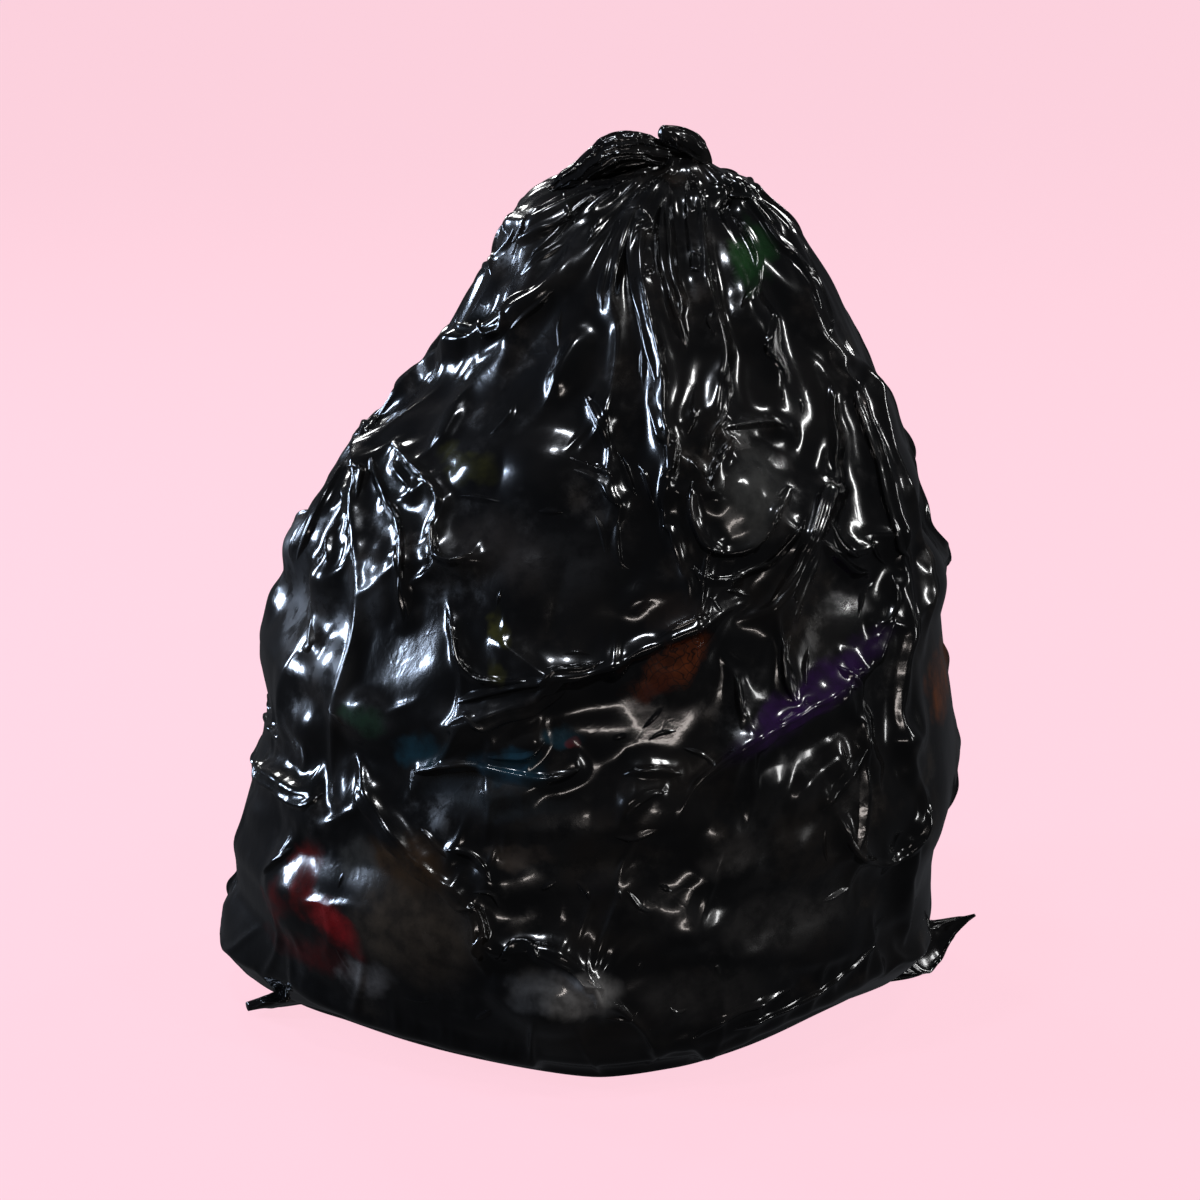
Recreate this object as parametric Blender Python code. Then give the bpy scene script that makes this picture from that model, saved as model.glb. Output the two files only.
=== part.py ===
"""A full refuse sack, standing on the floor with its neck knotted shut.

The sack is one piece. Its wall, its knot, the tail left over past the knot and the two sharp
corners of its bottom seam are the same tube of thin black film, and the litter inside can't be
reached, so it is one closed solid with the sack's outer form.

The frame is in metres, +Z up, with the origin on the floor under the middle of the sack's
box. +X runs to the right and +Y away from somebody who looks at the sack's fuller side.
"""

from math import copysign, cos, degrees, exp, pi, radians, sin

import bmesh
import bpy
from mathutils import Matrix, Vector

MM = 0.001

# How far the film reaches from the foot's middle at each height, in millimetres. Left and right
# are along X, and front and back along Y, as signed places, because the shoulders lean over to
# the right, where the neck is. The last column is how square the section is: 2 is an ellipse
# and less than 2 draws it towards a lozenge with its corners at the front, back and sides.
#    height  left  right  front  back  squareness
SECTIONS = (
    (0, -184, 184, -192, 190, 1.5),
    (10, -208, 200, -212, 204, 1.55),
    (36, -236, 208, -224, 214, 1.7),
    (85, -236, 217, -226, 220, 1.9),
    (134, -229, 234, -220, 218, 2.0),
    (183, -215, 230, -213, 211, 2.05),
    (232, -217, 222, -204, 202, 2.05),
    (271, -201, 218, -197, 194, 2.05),
    (310, -193, 210, -186, 183, 2.0),
    (340, -166, 204, -176, 172, 2.0),
    (379, -147, 189, -158, 154, 2.0),
    (418, -110, 172, -135, 136, 2.0),
    (457, -83, 150, -108, 113, 1.95),
    (487, -66, 132, -85, 91, 1.9),
    (506, -58, 119, -65, 72, 1.9),
    (516, -46, 107, -47, 56, 1.9),
    (525, -8, 99, -34, 40, 2.0),
    (534, 22, 89, -22, 27, 2.0),
    (541, 34, 79, -14, 18, 2.0),
    (547, 42, 67, -10, 12, 2.0),
)

# The rings of points that the wall is drawn with, in millimetres above the floor.
RINGS = (
    *(0, 4, 10, 18, 26, 34, 42, 54, 68, 84, 100, 117, 134, 150, 167, 183, 200, 216, 232),
    *(248, 264, 280, 295, 310, 325, 340, 356, 372, 388, 404, 420, 436, 451, 465, 478, 490),
    *(500, 509, 517, 524, 531, 539, 547),
)
AROUND = 96  # points in a ring
SMOOTHEST_TURN = radians(40)  # faces that meet at less than this are shaded as one surface

# What the litter pushes out through the film: an angle round the section in degrees (0 is +X
# and -90 the front), a height, half the bulge's width and height, and how far it stands out.
#   angle  height  half_width  half_height  stands_out
BULGES = (
    (-138, 86, 72, 62, 15),  # the large packet low on the left
    (-162, 18, 36, 36, 17),
    (-17, 20, 40, 34, 14),
    (-176, 48, 34, 28, 12),
    (-170, 92, 30, 18, 5),
    (-162, 356, 16, 15, 5),  # a box's corner under the left shoulder
    (-176, 290, 30, 22, 9),
    (172, 214, 42, 34, 7),
    (-116, 236, 48, 30, 7),
    (-94, 54, 34, 24, 9),  # three tins along the foot
    (-64, 56, 28, 24, 7),
    (-44, 70, 36, 26, 5),
    (-68, 362, 34, 34, 9),  # a carton's end
    (-25, 124, 30, 48, 7),
    (-101, 176, 70, 20, 6),
    (-128, 396, 34, 26, 6),
    (9, 268, 24, 22, 10),
    (6, 152, 30, 30, 7),
    (36, 100, 46, 40, 9),
    (61, 232, 50, 44, 8),
    (88, 128, 56, 46, 10),
    (105, 298, 44, 40, 8),
    (132, 84, 48, 36, 10),
    (140, 190, 40, 44, 7),
    (70, 368, 38, 34, 7),
    (151, 372, 30, 30, 6),
)

# The ridges that the film is pulled into between what pushes it out: half the ridge's width,
# how far it stands out, and the angle and height of each point along it.
FOLDS = (
    (11, 6, ((-155, 470), (-162, 422), (-159, 384), (-166, 371))),
    (12, 6, ((-164, 373), (-152, 306), (-154, 247), (-158, 186))),
    (11, 5, ((-159, 373), (-138, 314), (-136, 242), (-140, 180))),
    (11, 5, ((-160, 388), (-134, 352), (-124, 323))),
    (12, 6, ((-18, 500), (-16, 422), (-24, 352), (-30, 219), (-34, 160), (-28, 84))),
    (11, 5, ((-44, 490), (-30, 434), (-30, 375), (-35, 236))),
    (11, 5, ((-90, 470), (-88, 417), (-82, 373))),
    (11, 5, ((-130, 489), (-136, 438), (-148, 411))),
    (10, 6, ((-78, 401), (-79, 363), (-74, 333), (-65, 327), (-57, 346), (-44, 388))),
    (10, 6, ((-52, 337), (-58, 306), (-65, 272), (-68, 219))),
    (10, 5, ((-120, 272), (-105, 264), (-92, 274), (-74, 295))),
    (10, 5, ((-77, 196), (-66, 213), (-54, 228), (-40, 245))),
    (12, 6, ((-168, 126), (-147, 160), (-120, 156), (-108, 126), (-106, 70))),
    (11, 5, ((-88, 126), (-68, 91), (-48, 70), (-24, 44))),
    (11, 5, ((-66, 14), (-50, 34), (-22, 36))),
    (10, 5, ((-75, 131), (-63, 139), (-50, 173), (-46, 209))),
    (12, 6, ((60, 470), (64, 380), (48, 280), (52, 180))),
    (12, 6, ((100, 470), (92, 360), (110, 260), (104, 170))),
    (11, 6, ((140, 460), (138, 370), (150, 280), (140, 130))),
    (11, 5, ((60, 140), (86, 186), (118, 160), (132, 110))),
    (11, 5, ((22, 340), (34, 250), (20, 160))),
)

# Where the sack is slimmer than this, its bulges and ridges get lower along with its reach.
SLIMMEST_BULGED = 100

# The film gathers into the neck in pleats, which run out before half way down.
PLEATS = 16
PLEAT_TOP = 530
PLEAT_FOOT = 380
PLEAT_DEPTH = 0.16  # of the section's radius, at the neck
# Each slow wave moves the pleats round by some of a turn, so that no two are alike.
PLEAT_DRIFT = ((0.9, 2, 0.6), (0.5, 3, 2.1), (0.35, 5, 4.0))

# The bottom seam's two corners, which stick out empty past the litter: an angle in degrees,
# half the angle that the corner covers at its root, and its outline, as the height of each
# point and how far it stands out there, in millimetres.
SEAM_CORNERS = (
    (3.75, 5.5, ((0, 2), (7, 14), (17, 30), (29, 54), (36, 0))),
    (-161.25, 5.5, ((0, 38), (4, 38), (10, 18), (18, 0))),
)

# The knot is a turn of the neck round itself: a fat ring tilted over the neck.
KNOT_PLACE = Vector((53, 0, 549)) * MM
KNOT_TILT = (radians(68), radians(12), radians(18))
KNOT_RING = 10 * MM
KNOT_THICKNESS = 8.4 * MM

# The tail past the knot falls over to the left: its centre line and its radius there.
TAIL = (
    ((57, 2, 548), 9),
    ((38, 0, 550), 12),
    ((14, -2, 549), 14),
    ((-8, -3, 535), 13),
    ((-27, -4, 522), 12),
    ((-45, -4, 512), 9),
    ((-59, -3, 506), 6),
)
TAIL_SIDES = 12


def clear_scene():
    for obj in list(bpy.data.objects):
        bpy.data.objects.remove(obj)


def film_material():
    """Low-density polyethylene film with carbon black in it: black and glossy."""
    material = bpy.data.materials.new("black_film")
    material.use_nodes = True
    shader = material.node_tree.nodes["Principled BSDF"]
    shader.inputs["Base Color"].default_value = (0.009, 0.009, 0.010, 1)
    shader.inputs["Roughness"].default_value = 0.22
    shader.inputs["Metallic"].default_value = 0
    return material


def catmull_rom(before, low, high, after, share):
    """The value between low and high on the smooth curve through all four."""
    slope_low = (high - before) / 2
    slope_high = (after - low) / 2
    rest = 2 * (low - high) + slope_low + slope_high
    bend = -3 * (low - high) - 2 * slope_low - slope_high
    return ((rest * share + bend) * share + slope_low) * share + low


def section_at(height):
    """Left, right, front, back and squareness at a height in millimetres, between SECTIONS."""
    last = len(SECTIONS) - 1
    i = max(k for k in range(last) if SECTIONS[k][0] <= height)
    low, high = SECTIONS[i], SECTIONS[i + 1]
    before, after = SECTIONS[max(i - 1, 0)], SECTIONS[min(i + 2, last)]
    share = (height - low[0]) / (high[0] - low[0])
    columns = range(1, len(low))
    return [catmull_rom(before[c], low[c], high[c], after[c], share) for c in columns]


def turn_between(angle, other):
    """The turn from one angle to the other the short way round, in degrees."""
    return (other - angle + 180) % 360 - 180


def bulges_at(angle, height, reach):
    """How far the litter pushes the film out at an angle in degrees, all else millimetres."""
    total = 0
    for centre, centre_height, half_width, half_height, stands_out in BULGES:
        across = radians(turn_between(centre, angle)) * reach / half_width
        up = (height - centre_height) / half_height
        total += stands_out * exp(-(across**2 + up**2))
    return total


def folds_at(angle, height, reach):
    """How far the ridges of the film stand out there."""
    total = 0
    for half_width, stands_out, points in FOLDS:
        across = [
            Vector((radians(turn_between(angle, turn)) * reach, up - height)) for turn, up in points
        ]
        gap = min(distance_to_line(start, end) for start, end in zip(across, across[1:]))
        total += stands_out * exp(-((gap / half_width) ** 2))
    return total


def distance_to_line(start, end):
    """The distance from zero to the line between two places."""
    along = end - start
    share = min(max(-start.dot(along) / along.dot(along), 0), 1)
    return (start + along * share).length


def pleats_at(angle, height):
    """What the pleats add there, as a share of the radius: round crests and sharp valleys."""
    share = (height - PLEAT_FOOT) / (PLEAT_TOP - PLEAT_FOOT)
    fade = min(max(share, 0), 1) ** 1.5
    drift = sum(size * sin(waves * angle + start) for size, waves, start in PLEAT_DRIFT)
    crest = abs(cos((PLEATS * angle + drift * 2) / 2))
    return PLEAT_DEPTH * fade * (crest - 0.6)


def seam_corners_at(angle, height):
    """How far an empty seam corner stands out there, in millimetres."""
    for centre, half_angle, outline in SEAM_CORNERS:
        turn = abs(turn_between(centre, angle))
        if turn >= half_angle:
            continue
        for (low, out_low), (high, out_high) in zip(outline, outline[1:]):
            if low <= height <= high:
                share = (height - low) / (high - low)
                return (out_low + (out_high - out_low) * share) * (1 - turn / half_angle)
    return 0


def film_point(turn, height):
    """The point of the sack's outer surface at an angle round it, at a height in millimetres."""
    left, right, front, back, squareness = section_at(height)
    middle = Vector(((left + right) / 2, (front + back) / 2))
    x = copysign(abs(cos(turn)) ** (2 / squareness), cos(turn)) * (right - left) / 2
    y = copysign(abs(sin(turn)) ** (2 / squareness), sin(turn)) * (back - front) / 2
    spoke = Vector((x, y))
    reach = spoke.length
    angle = degrees(turn)
    out = bulges_at(angle, height, reach) + folds_at(angle, height, reach)
    out = out * min(reach / SLIMMEST_BULGED, 1) + seam_corners_at(angle, height)
    place = middle + spoke * (1 + pleats_at(turn, height) + out / reach)
    return Vector((*place, height)) * MM


def wall_mesh():
    """The sack's wall: one stack of rings on a flat foot, closed inside the knot."""
    bm = bmesh.new()
    turns = [2 * pi * k / AROUND for k in range(AROUND)]
    rings = [[bm.verts.new(film_point(turn, height)) for turn in turns] for height in RINGS]
    for lower, upper in zip(rings, rings[1:]):
        for k in range(AROUND):
            bm.faces.new((lower[k - 1], lower[k], upper[k], upper[k - 1]))
    bm.faces.new(reversed(rings[0]))
    bm.faces.new(rings[-1])
    return finished_mesh(bm, "wall")


def finished_mesh(bm, name):
    mesh = bpy.data.meshes.new(name)
    bm.to_mesh(mesh)
    bm.free()
    mesh.shade_smooth()
    mesh.set_sharp_from_angle(angle=SMOOTHEST_TURN)
    return mesh


def knot_mesh():
    """The turn of film round the neck, which the tail comes out of."""
    bm = bmesh.new()
    bmesh.ops.create_circle(bm, segments=12, radius=KNOT_THICKNESS)
    bmesh.ops.rotate(bm, verts=bm.verts, matrix=Matrix.Rotation(pi / 2, 3, "X"))
    bmesh.ops.translate(bm, verts=bm.verts, vec=(KNOT_RING, 0, 0))
    bmesh.ops.spin(
        bm, geom=bm.verts[:] + bm.edges[:], axis=(0, 0, 1), angle=2 * pi, steps=20, use_merge=True
    )
    bmesh.ops.remove_doubles(bm, verts=bm.verts, dist=0.0001)
    bmesh.ops.recalc_face_normals(bm, faces=bm.faces)
    for axis, turn in zip("XYZ", KNOT_TILT):
        bmesh.ops.rotate(bm, verts=bm.verts, matrix=Matrix.Rotation(turn, 3, axis))
    bmesh.ops.translate(bm, verts=bm.verts, vec=KNOT_PLACE)
    return finished_mesh(bm, "knot")


def tail_mesh():
    """The tail past the knot: a tapering tube with closed ends."""
    curve = bpy.data.curves.new("tail", "CURVE")
    curve.dimensions = "3D"
    curve.bevel_depth = MM
    curve.bevel_resolution = TAIL_SIDES // 4 - 1
    curve.use_fill_caps = True
    spline = curve.splines.new("NURBS")
    spline.points.add(len(TAIL) - 1)
    spline.use_endpoint_u = True
    spline.order_u = 3
    spline.resolution_u = 3
    for point, (place, radius) in zip(spline.points, TAIL):
        point.co = (*(Vector(place) * MM), 1)
        point.radius = radius
    guide = bpy.data.objects.new("tail_guide", curve)
    bpy.context.scene.collection.objects.link(guide)
    graph = bpy.context.evaluated_depsgraph_get()
    mesh = bpy.data.meshes.new_from_object(guide.evaluated_get(graph))
    bpy.data.objects.remove(guide)
    bm = bmesh.new()
    bm.from_mesh(mesh)
    bmesh.ops.remove_doubles(bm, verts=bm.verts, dist=0.00001)
    bmesh.ops.recalc_face_normals(bm, faces=bm.faces)
    return finished_mesh(bm, "tail")


def add_object(name, mesh):
    obj = bpy.data.objects.new(name, mesh)
    bpy.context.scene.collection.objects.link(obj)
    return obj


def join_into(sack, helper):
    """Makes the helper's film part of the sack, and keeps the helper out of the model."""
    helper.hide_render = True
    helper.display_type = "WIRE"
    union = sack.modifiers.new(helper.name, "BOOLEAN")
    union.operation = "UNION"
    union.object = helper


def middle_of_box(mesh):
    """The middle of a mesh's box, at the height of the floor."""
    places = [vert.co for vert in mesh.vertices]
    x, y = ((min(p[i] for p in places) + max(p[i] for p in places)) / 2 for i in (0, 1))
    return Vector((x, y, 0))


def build():
    clear_scene()
    wall, knot, tail = wall_mesh(), knot_mesh(), tail_mesh()
    to_origin = Matrix.Translation(-middle_of_box(wall))
    for mesh in (wall, knot, tail):
        mesh.transform(to_origin)
    sack = add_object("bin_bag", wall)
    sack.data.materials.append(film_material())
    join_into(sack, add_object("knot", knot))
    join_into(sack, add_object("tail", tail))


build()
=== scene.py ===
from math import cos, pi, radians, sin, tau

import bmesh
import bpy
import numpy as np
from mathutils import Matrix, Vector
from mathutils.bvhtree import BVHTree


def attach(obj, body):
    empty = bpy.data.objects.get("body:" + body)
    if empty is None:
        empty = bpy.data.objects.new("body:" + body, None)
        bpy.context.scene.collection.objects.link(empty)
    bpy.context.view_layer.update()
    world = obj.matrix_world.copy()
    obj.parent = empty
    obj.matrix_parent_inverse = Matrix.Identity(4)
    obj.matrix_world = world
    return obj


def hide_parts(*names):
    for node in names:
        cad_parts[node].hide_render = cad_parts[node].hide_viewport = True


# A full bin bag of thin black film: the tied sack, its knot, the tail past the knot and the two
# corners of its bottom seam. Lengths in the dictionaries are millimetres unless they say otherwise.
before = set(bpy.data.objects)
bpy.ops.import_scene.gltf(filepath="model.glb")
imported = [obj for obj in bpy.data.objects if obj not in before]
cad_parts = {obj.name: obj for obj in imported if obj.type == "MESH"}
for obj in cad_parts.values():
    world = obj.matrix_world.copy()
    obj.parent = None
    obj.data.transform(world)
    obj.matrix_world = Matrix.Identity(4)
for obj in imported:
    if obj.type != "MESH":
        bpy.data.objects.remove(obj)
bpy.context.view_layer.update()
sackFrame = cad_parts["bin_bag"]
mm = 0.001


def linear(hexColour):
    # an sRGB hex colour as linear red, green, blue and alpha
    channels = [int(hexColour[i:i + 2], 16) / 255 for i in (0, 2, 4)]
    return tuple(c / 12.92 if c <= 0.04045 else ((c + 0.055) / 1.055) ** 2.4 for c in channels) + (1,)


studio = {
    "aim": (-1.6, 0, 270),
    "elevation": 15,  # degrees above the horizon
    "distance": 2700,
    "lens": 125.2,
    "sensor": 36,
    "shiftUp": -0.0184,  # a share of the frame's height
    "seesTo": 50,  # metres
    "floorSize": 9,  # metres from the middle to an edge
    "floorColour": "ffd3e0",
    "floorPaint": "4a3a3f",  # the little of the floor that takes the light and shadow
    "floorGlow": 0.97,
    "floorRoughness": 0.9,
    "floorGloss": 0.1,
    "skyColour": "c9ccd6",
    "skyStrength": 0.06,
    "lights": (
        # place in metres, width and height in metres, watts, colour
        ((-2.3, -0.1, 1.0), (0.35, 0.6), 38, "cfe2ff"),
        ((-2.0, 1.1, 0.75), (0.3, 0.6), 26, "cfe2ff"),
        ((-0.6, -0.6, 2.7), (0.25, 0.25), 16, "eef4ff"),
        ((0.9, -0.7, 2.3), (0.12, 0.3), 7, "ffffff"),
        ((2.2, -0.1, 1.2), (0.10, 0.6), 8, "ffffff"),
        ((2.0, -1.2, 0.7), (0.15, 0.5), 5, "ffffff"),
        ((0.5, -2.7, 0.5), (0.8, 0.12), 4, "fff4ee"),
        ((-1.0, 2.2, 1.6), (0.5, 0.5), 18, "ffffff"),
        ((1.4, 1.6, 1.8), (0.2, 0.6), 10, "ffffff"),
    ),
    "lightsAim": (0, 0, 0.27),  # metres
}


def addNode(tree, kind, settings=None, values=None, output=0):
    # adds a node, sets or links its inputs, and hands back one of its outputs
    node = tree.nodes.new(kind)
    for name, value in (settings or {}).items():
        setattr(node, name, value)
    for name, value in (values or {}).items():
        socket = node.inputs[name]
        if isinstance(value, bpy.types.NodeSocket):
            tree.links.new(value, socket)
        else:
            socket.default_value = value
    return node.outputs[output]


def addPiece(name, data):
    piece = bpy.data.objects.new(name, data)
    bpy.context.scene.collection.objects.link(piece)
    return piece


def makeCamera(s):
    camera = addPiece("camera", bpy.data.cameras.new("camera"))
    aim = Vector(s["aim"]) * mm
    tilt = radians(s["elevation"])
    camera.location = aim + Vector((0, -cos(tilt), sin(tilt))) * s["distance"] * mm
    camera.rotation_euler = (aim - camera.location).to_track_quat("-Z", "Y").to_euler()
    camera.data.sensor_width = s["sensor"]
    camera.data.lens = s["lens"]
    camera.data.shift_y = s["shiftUp"]
    camera.data.clip_end = s["seesTo"]
    bpy.context.scene.camera = camera


def makeLight(place, size, watts, colour, aim):
    light = bpy.data.lights.new("softbox", "AREA")
    light.shape = "RECTANGLE"
    light.size, light.size_y = size
    light.energy = watts
    light.color = linear(colour)[:3]
    lamp = addPiece("softbox", light)
    lamp.location = place
    lamp.rotation_euler = (Vector(aim) - lamp.location).to_track_quat("-Z", "Y").to_euler()


def makeFloor(s):
    bm = bmesh.new()
    bmesh.ops.create_grid(bm, x_segments=1, y_segments=1, size=s["floorSize"])
    me = bpy.data.meshes.new("studioFloor")
    bm.to_mesh(me)
    bm.free()
    paper = bpy.data.materials.new("studioPaper")
    paper.use_nodes = True
    shader = paper.node_tree.nodes["Principled BSDF"]
    shader.inputs["Base Color"].default_value = linear(s["floorPaint"])
    shader.inputs["Roughness"].default_value = s["floorRoughness"]
    shader.inputs["Specular IOR Level"].default_value = s["floorGloss"]
    shader.inputs["Emission Color"].default_value = linear(s["floorColour"])
    shader.inputs["Emission Strength"].default_value = s["floorGlow"]
    me.materials.append(paper)
    floor = addPiece("studioFloor", me)
    floor.visible_glossy = False
    floor.visible_diffuse = False


def makeSky(s):
    # the camera sees the floor's colour all round, and the sack only a dim grey sky
    world = bpy.data.worlds.new("studioWorld")
    world.use_nodes = True
    bpy.context.scene.world = world
    tree = world.node_tree
    seen = tree.nodes["Background"]
    seen.inputs["Color"].default_value = linear(s["floorColour"])
    dim = {"Color": linear(s["skyColour"]), "Strength": s["skyStrength"]}
    dimSky = addNode(tree, "ShaderNodeBackground", values=dim)
    looking = addNode(tree, "ShaderNodeLightPath", output="Is Camera Ray")
    sky = addNode(tree, "ShaderNodeMixShader", values={0: looking, 1: dimSky, 2: seen.outputs[0]})
    tree.links.new(sky, tree.nodes["World Output"].inputs[0])


makeCamera(studio)
for lightSettings in studio["lights"]:
    makeLight(*lightSettings, studio["lightsAim"])
makeFloor(studio)
makeSky(studio)
bpy.context.scene.view_settings.view_transform = "Standard"
print("studio ready")

# The sack's outer form, taken from the frame's body and eased.
sack = {
    "rows": 89,  # of the coarsest grid, from floor to neck; each finer grid halves the spacing
    "columns": 168,
    "frontDensity": 0.35,  # how much closer the columns stand at the front than the back
    "levels": 180,  # heights at which the frame's body is measured
    "nearest": 10,  # what stands for the reach where there is no body
    "furthest": 1000,
    # where the sack's middle is at each height, because the neck leans to the right
    "axis": ((0, 0), (300, 6), (420, 22), (487, 28), (516, 34), (525, 40), (541, 50), (547, 48.5)),
    "top": 546.5,
    "neck": ((500, 140), (516, 100), (525, 62), (532, 44), (539, 26), (543, 17), (546.5, 13)),
    # what sticks out of the frame's body and is made on its own: turn and half its width in
    # degrees, and the heights between which it stands
    "standOuts": ((3.75, 8.5, -1, 45), (-161.25, 8.5, -1, 30), (180, 20, 512, 560)),
    # height and x of the left shoulder, which holds up the tail
    "shoulder": ((488, -67), (496, -65), (504, -62), (514, -57), (521, -52), (526, -44), (530, -32),
                 (532, -22), (535, -6), (539, 12), (543, 29), (547, 40)),
    "shoulderHalf": 38,  # degrees
    "shoulderFade": 20,  # how far below the shoulder the easing starts
    # how much further out the film bulges on the left and on the right at each height
    "bulges": ((0, 16, -12), (14, 15, -6), (26, 10, 2), (40, 3, 7), (68, -4, 6), (90, 0, 2),
               (101, 4, 0), (135, 1, -1), (168, -2, 0), (202, 2, 2), (235, 3, 2), (269, -5, 1),
               (302, -8, -4), (336, -3, -2), (369, -9, -5), (403, -13, -3), (436, -5, -2),
               (470, 0, 0), (503, -4, -3), (520, -6, -6), (547, 0, 0)),
    "bulgeTurns": (188, -8),  # degrees, left and right
    "bulgeHalf": 75,
}


def ramp(value, start, over):
    # 0 up to start, 1 from start + over on, and straight between
    return np.clip((value - start) / over, 0, 1)


def easeIn(share):
    return np.sin(np.clip(share, 0, 1) * pi / 2)


def unit(v):
    return v / np.maximum(np.sqrt((v * v).sum(-1, keepdims=True)), 1e-9)


def measured(rows):
    # a table in millimetres as columns in metres
    return np.array(rows).T * mm


def ringTurns(count):
    # the turn of each column, closer together at the front
    even = np.arange(count) * tau / count
    return even - sack["frontDensity"] * np.cos(even)


def degreesFrom(turns, centre):
    return (np.degrees(turns) - centre + 180) % 360 - 180


def hump(away, half):
    return np.cos(np.clip(away / half, -1, 1) * pi / 2) ** 2


def bodyReach(heights, turns, s):
    # how far the frame's body reaches from the sack's middle, level by level
    bm = bmesh.new()
    bm.from_mesh(sackFrame.data)
    tree = BVHTree.FromBMesh(bm)
    bm.free()
    axis = np.interp(heights, *measured(s["axis"]))
    reach = np.empty((len(heights), len(turns)))
    for j, height in enumerate(heights):
        origin = Vector((axis[j], 0, height))
        for k, turn in enumerate(turns):
            hit = tree.ray_cast(origin, Vector((cos(turn), sin(turn), 0)), s["furthest"] * mm)
            reach[j, k] = hit[3] if hit[0] else s["nearest"] * mm
    for centre, halfWidth, low, high in s["standOuts"]:
        away = degreesFrom(turns, centre)
        inside = np.abs(away) < halfWidth
        order = np.argsort(away[~inside])
        for j in np.where((heights > low * mm) & (heights < high * mm))[0]:
            kept = reach[j, ~inside][order]
            reach[j, inside] = np.interp(away[inside], away[~inside][order], kept)
    return reach


def easeReach(reach, heights, turns, s):
    # slims the neck, draws in the left shoulder, and bulges or trims both sides
    neckHeights, neckReach = measured(s["neck"])
    limit = np.where(heights > neckHeights[0], np.interp(heights, neckHeights, neckReach), np.inf)
    reach = np.minimum(reach, limit[:, None])
    shoulderHeights, shoulder = measured(s["shoulder"])
    axis = np.interp(heights, *measured(s["axis"]))
    wanted = axis - np.interp(heights, shoulderHeights, shoulder)
    fade = s["shoulderFade"] * mm
    blend = hump(degreesFrom(turns, 180), s["shoulderHalf"])
    blend = blend * ramp(heights[:, None] - shoulderHeights[0], -fade, fade)
    reach += blend * (wanted[:, None] - reach)
    bulgeHeights, *bulges = measured(s["bulges"])
    for centre, bulge in zip(s["bulgeTurns"], bulges):
        blend = hump(degreesFrom(turns, centre), s["bulgeHalf"])
        reach += blend * np.interp(heights, bulgeHeights, bulge)[:, None]
    return reach


def sampleFrame(s):
    # the eased form as a grid of points, rows going up and columns going round
    heights = np.linspace(1, s["top"], s["levels"]) * mm
    turns = ringTurns(s["columns"])
    reach = easeReach(bodyReach(heights, turns, s), heights, turns, s)
    # rows are spaced evenly along the film, not by height
    mean = reach.mean(1)
    along = np.concatenate([[0], np.cumsum(np.hypot(np.diff(mean), np.diff(heights)))])
    rows = np.interp(np.linspace(0, along[-1], s["rows"]), along, heights)
    reach = np.array([np.interp(rows, heights, column) for column in reach.T]).T
    reach = (np.roll(reach, 1, 1) + 2 * reach + np.roll(reach, -1, 1)) / 4  # takes the facets off
    x = np.interp(rows, *measured(s["axis"]))[:, None] + reach * np.cos(turns)
    y = reach * np.sin(turns)
    return np.stack([x, y, np.repeat(rows[:, None], s["columns"], 1)], -1)


def gridNormals(p):
    across = np.roll(p, -1, 1) - np.roll(p, 1, 1)
    up = np.empty_like(p)
    up[1:-1] = p[2:] - p[:-2]
    up[0] = p[1] - p[0]
    up[-1] = p[-1] - p[-2]
    return unit(np.cross(across, up))


def finer(a):
    # the same grid with a point between every two, on a smooth curve through its neighbours
    between = (9 * (a + np.roll(a, -1, 1)) - (np.roll(a, 1, 1) + np.roll(a, -2, 1))) / 16
    wide = np.empty((a.shape[0], a.shape[1] * 2) + a.shape[2:], a.dtype)
    wide[:, 0::2] = a
    wide[:, 1::2] = between
    padded = np.concatenate([2 * wide[:1] - wide[1:2], wide, 2 * wide[-1:] - wide[-2:-1]])
    between = (9 * (padded[1:-2] + padded[2:-1]) - (padded[:-3] + padded[3:])) / 16
    tall = np.empty((wide.shape[0] * 2 - 1,) + wide.shape[1:], a.dtype)
    tall[0::2] = wide
    tall[1::2] = between
    return tall


# How film drapes: points held by lengths, settling between a low and a high limit.
cloth = {
    "carry": 0.9,  # the share of its speed that the film keeps from step to step
    "drag": 0.5,  # and that it loses where it touches the litter
    "squeeze": 0.6,  # how hard it is to press together, against 1 for stretching it
    "sweeps": 2,  # rounds of pulling in each step
    "floor": 0.6,  # the film's lowest points while it drapes
    "lowest": 0.4,  # and the lowest of a finished piece
}


def pull(a, b, length, stretch, squeeze):
    # moves both ends of each link towards the length that it should have
    apart = b - a
    now = np.sqrt((apart * apart).sum(-1)) + 1e-9
    share = 1 - length / now
    share *= np.where(share > 0, 0.5 * stretch, 0.5 * squeeze)
    apart *= share[..., None]
    a += apart
    b -= apart


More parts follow.
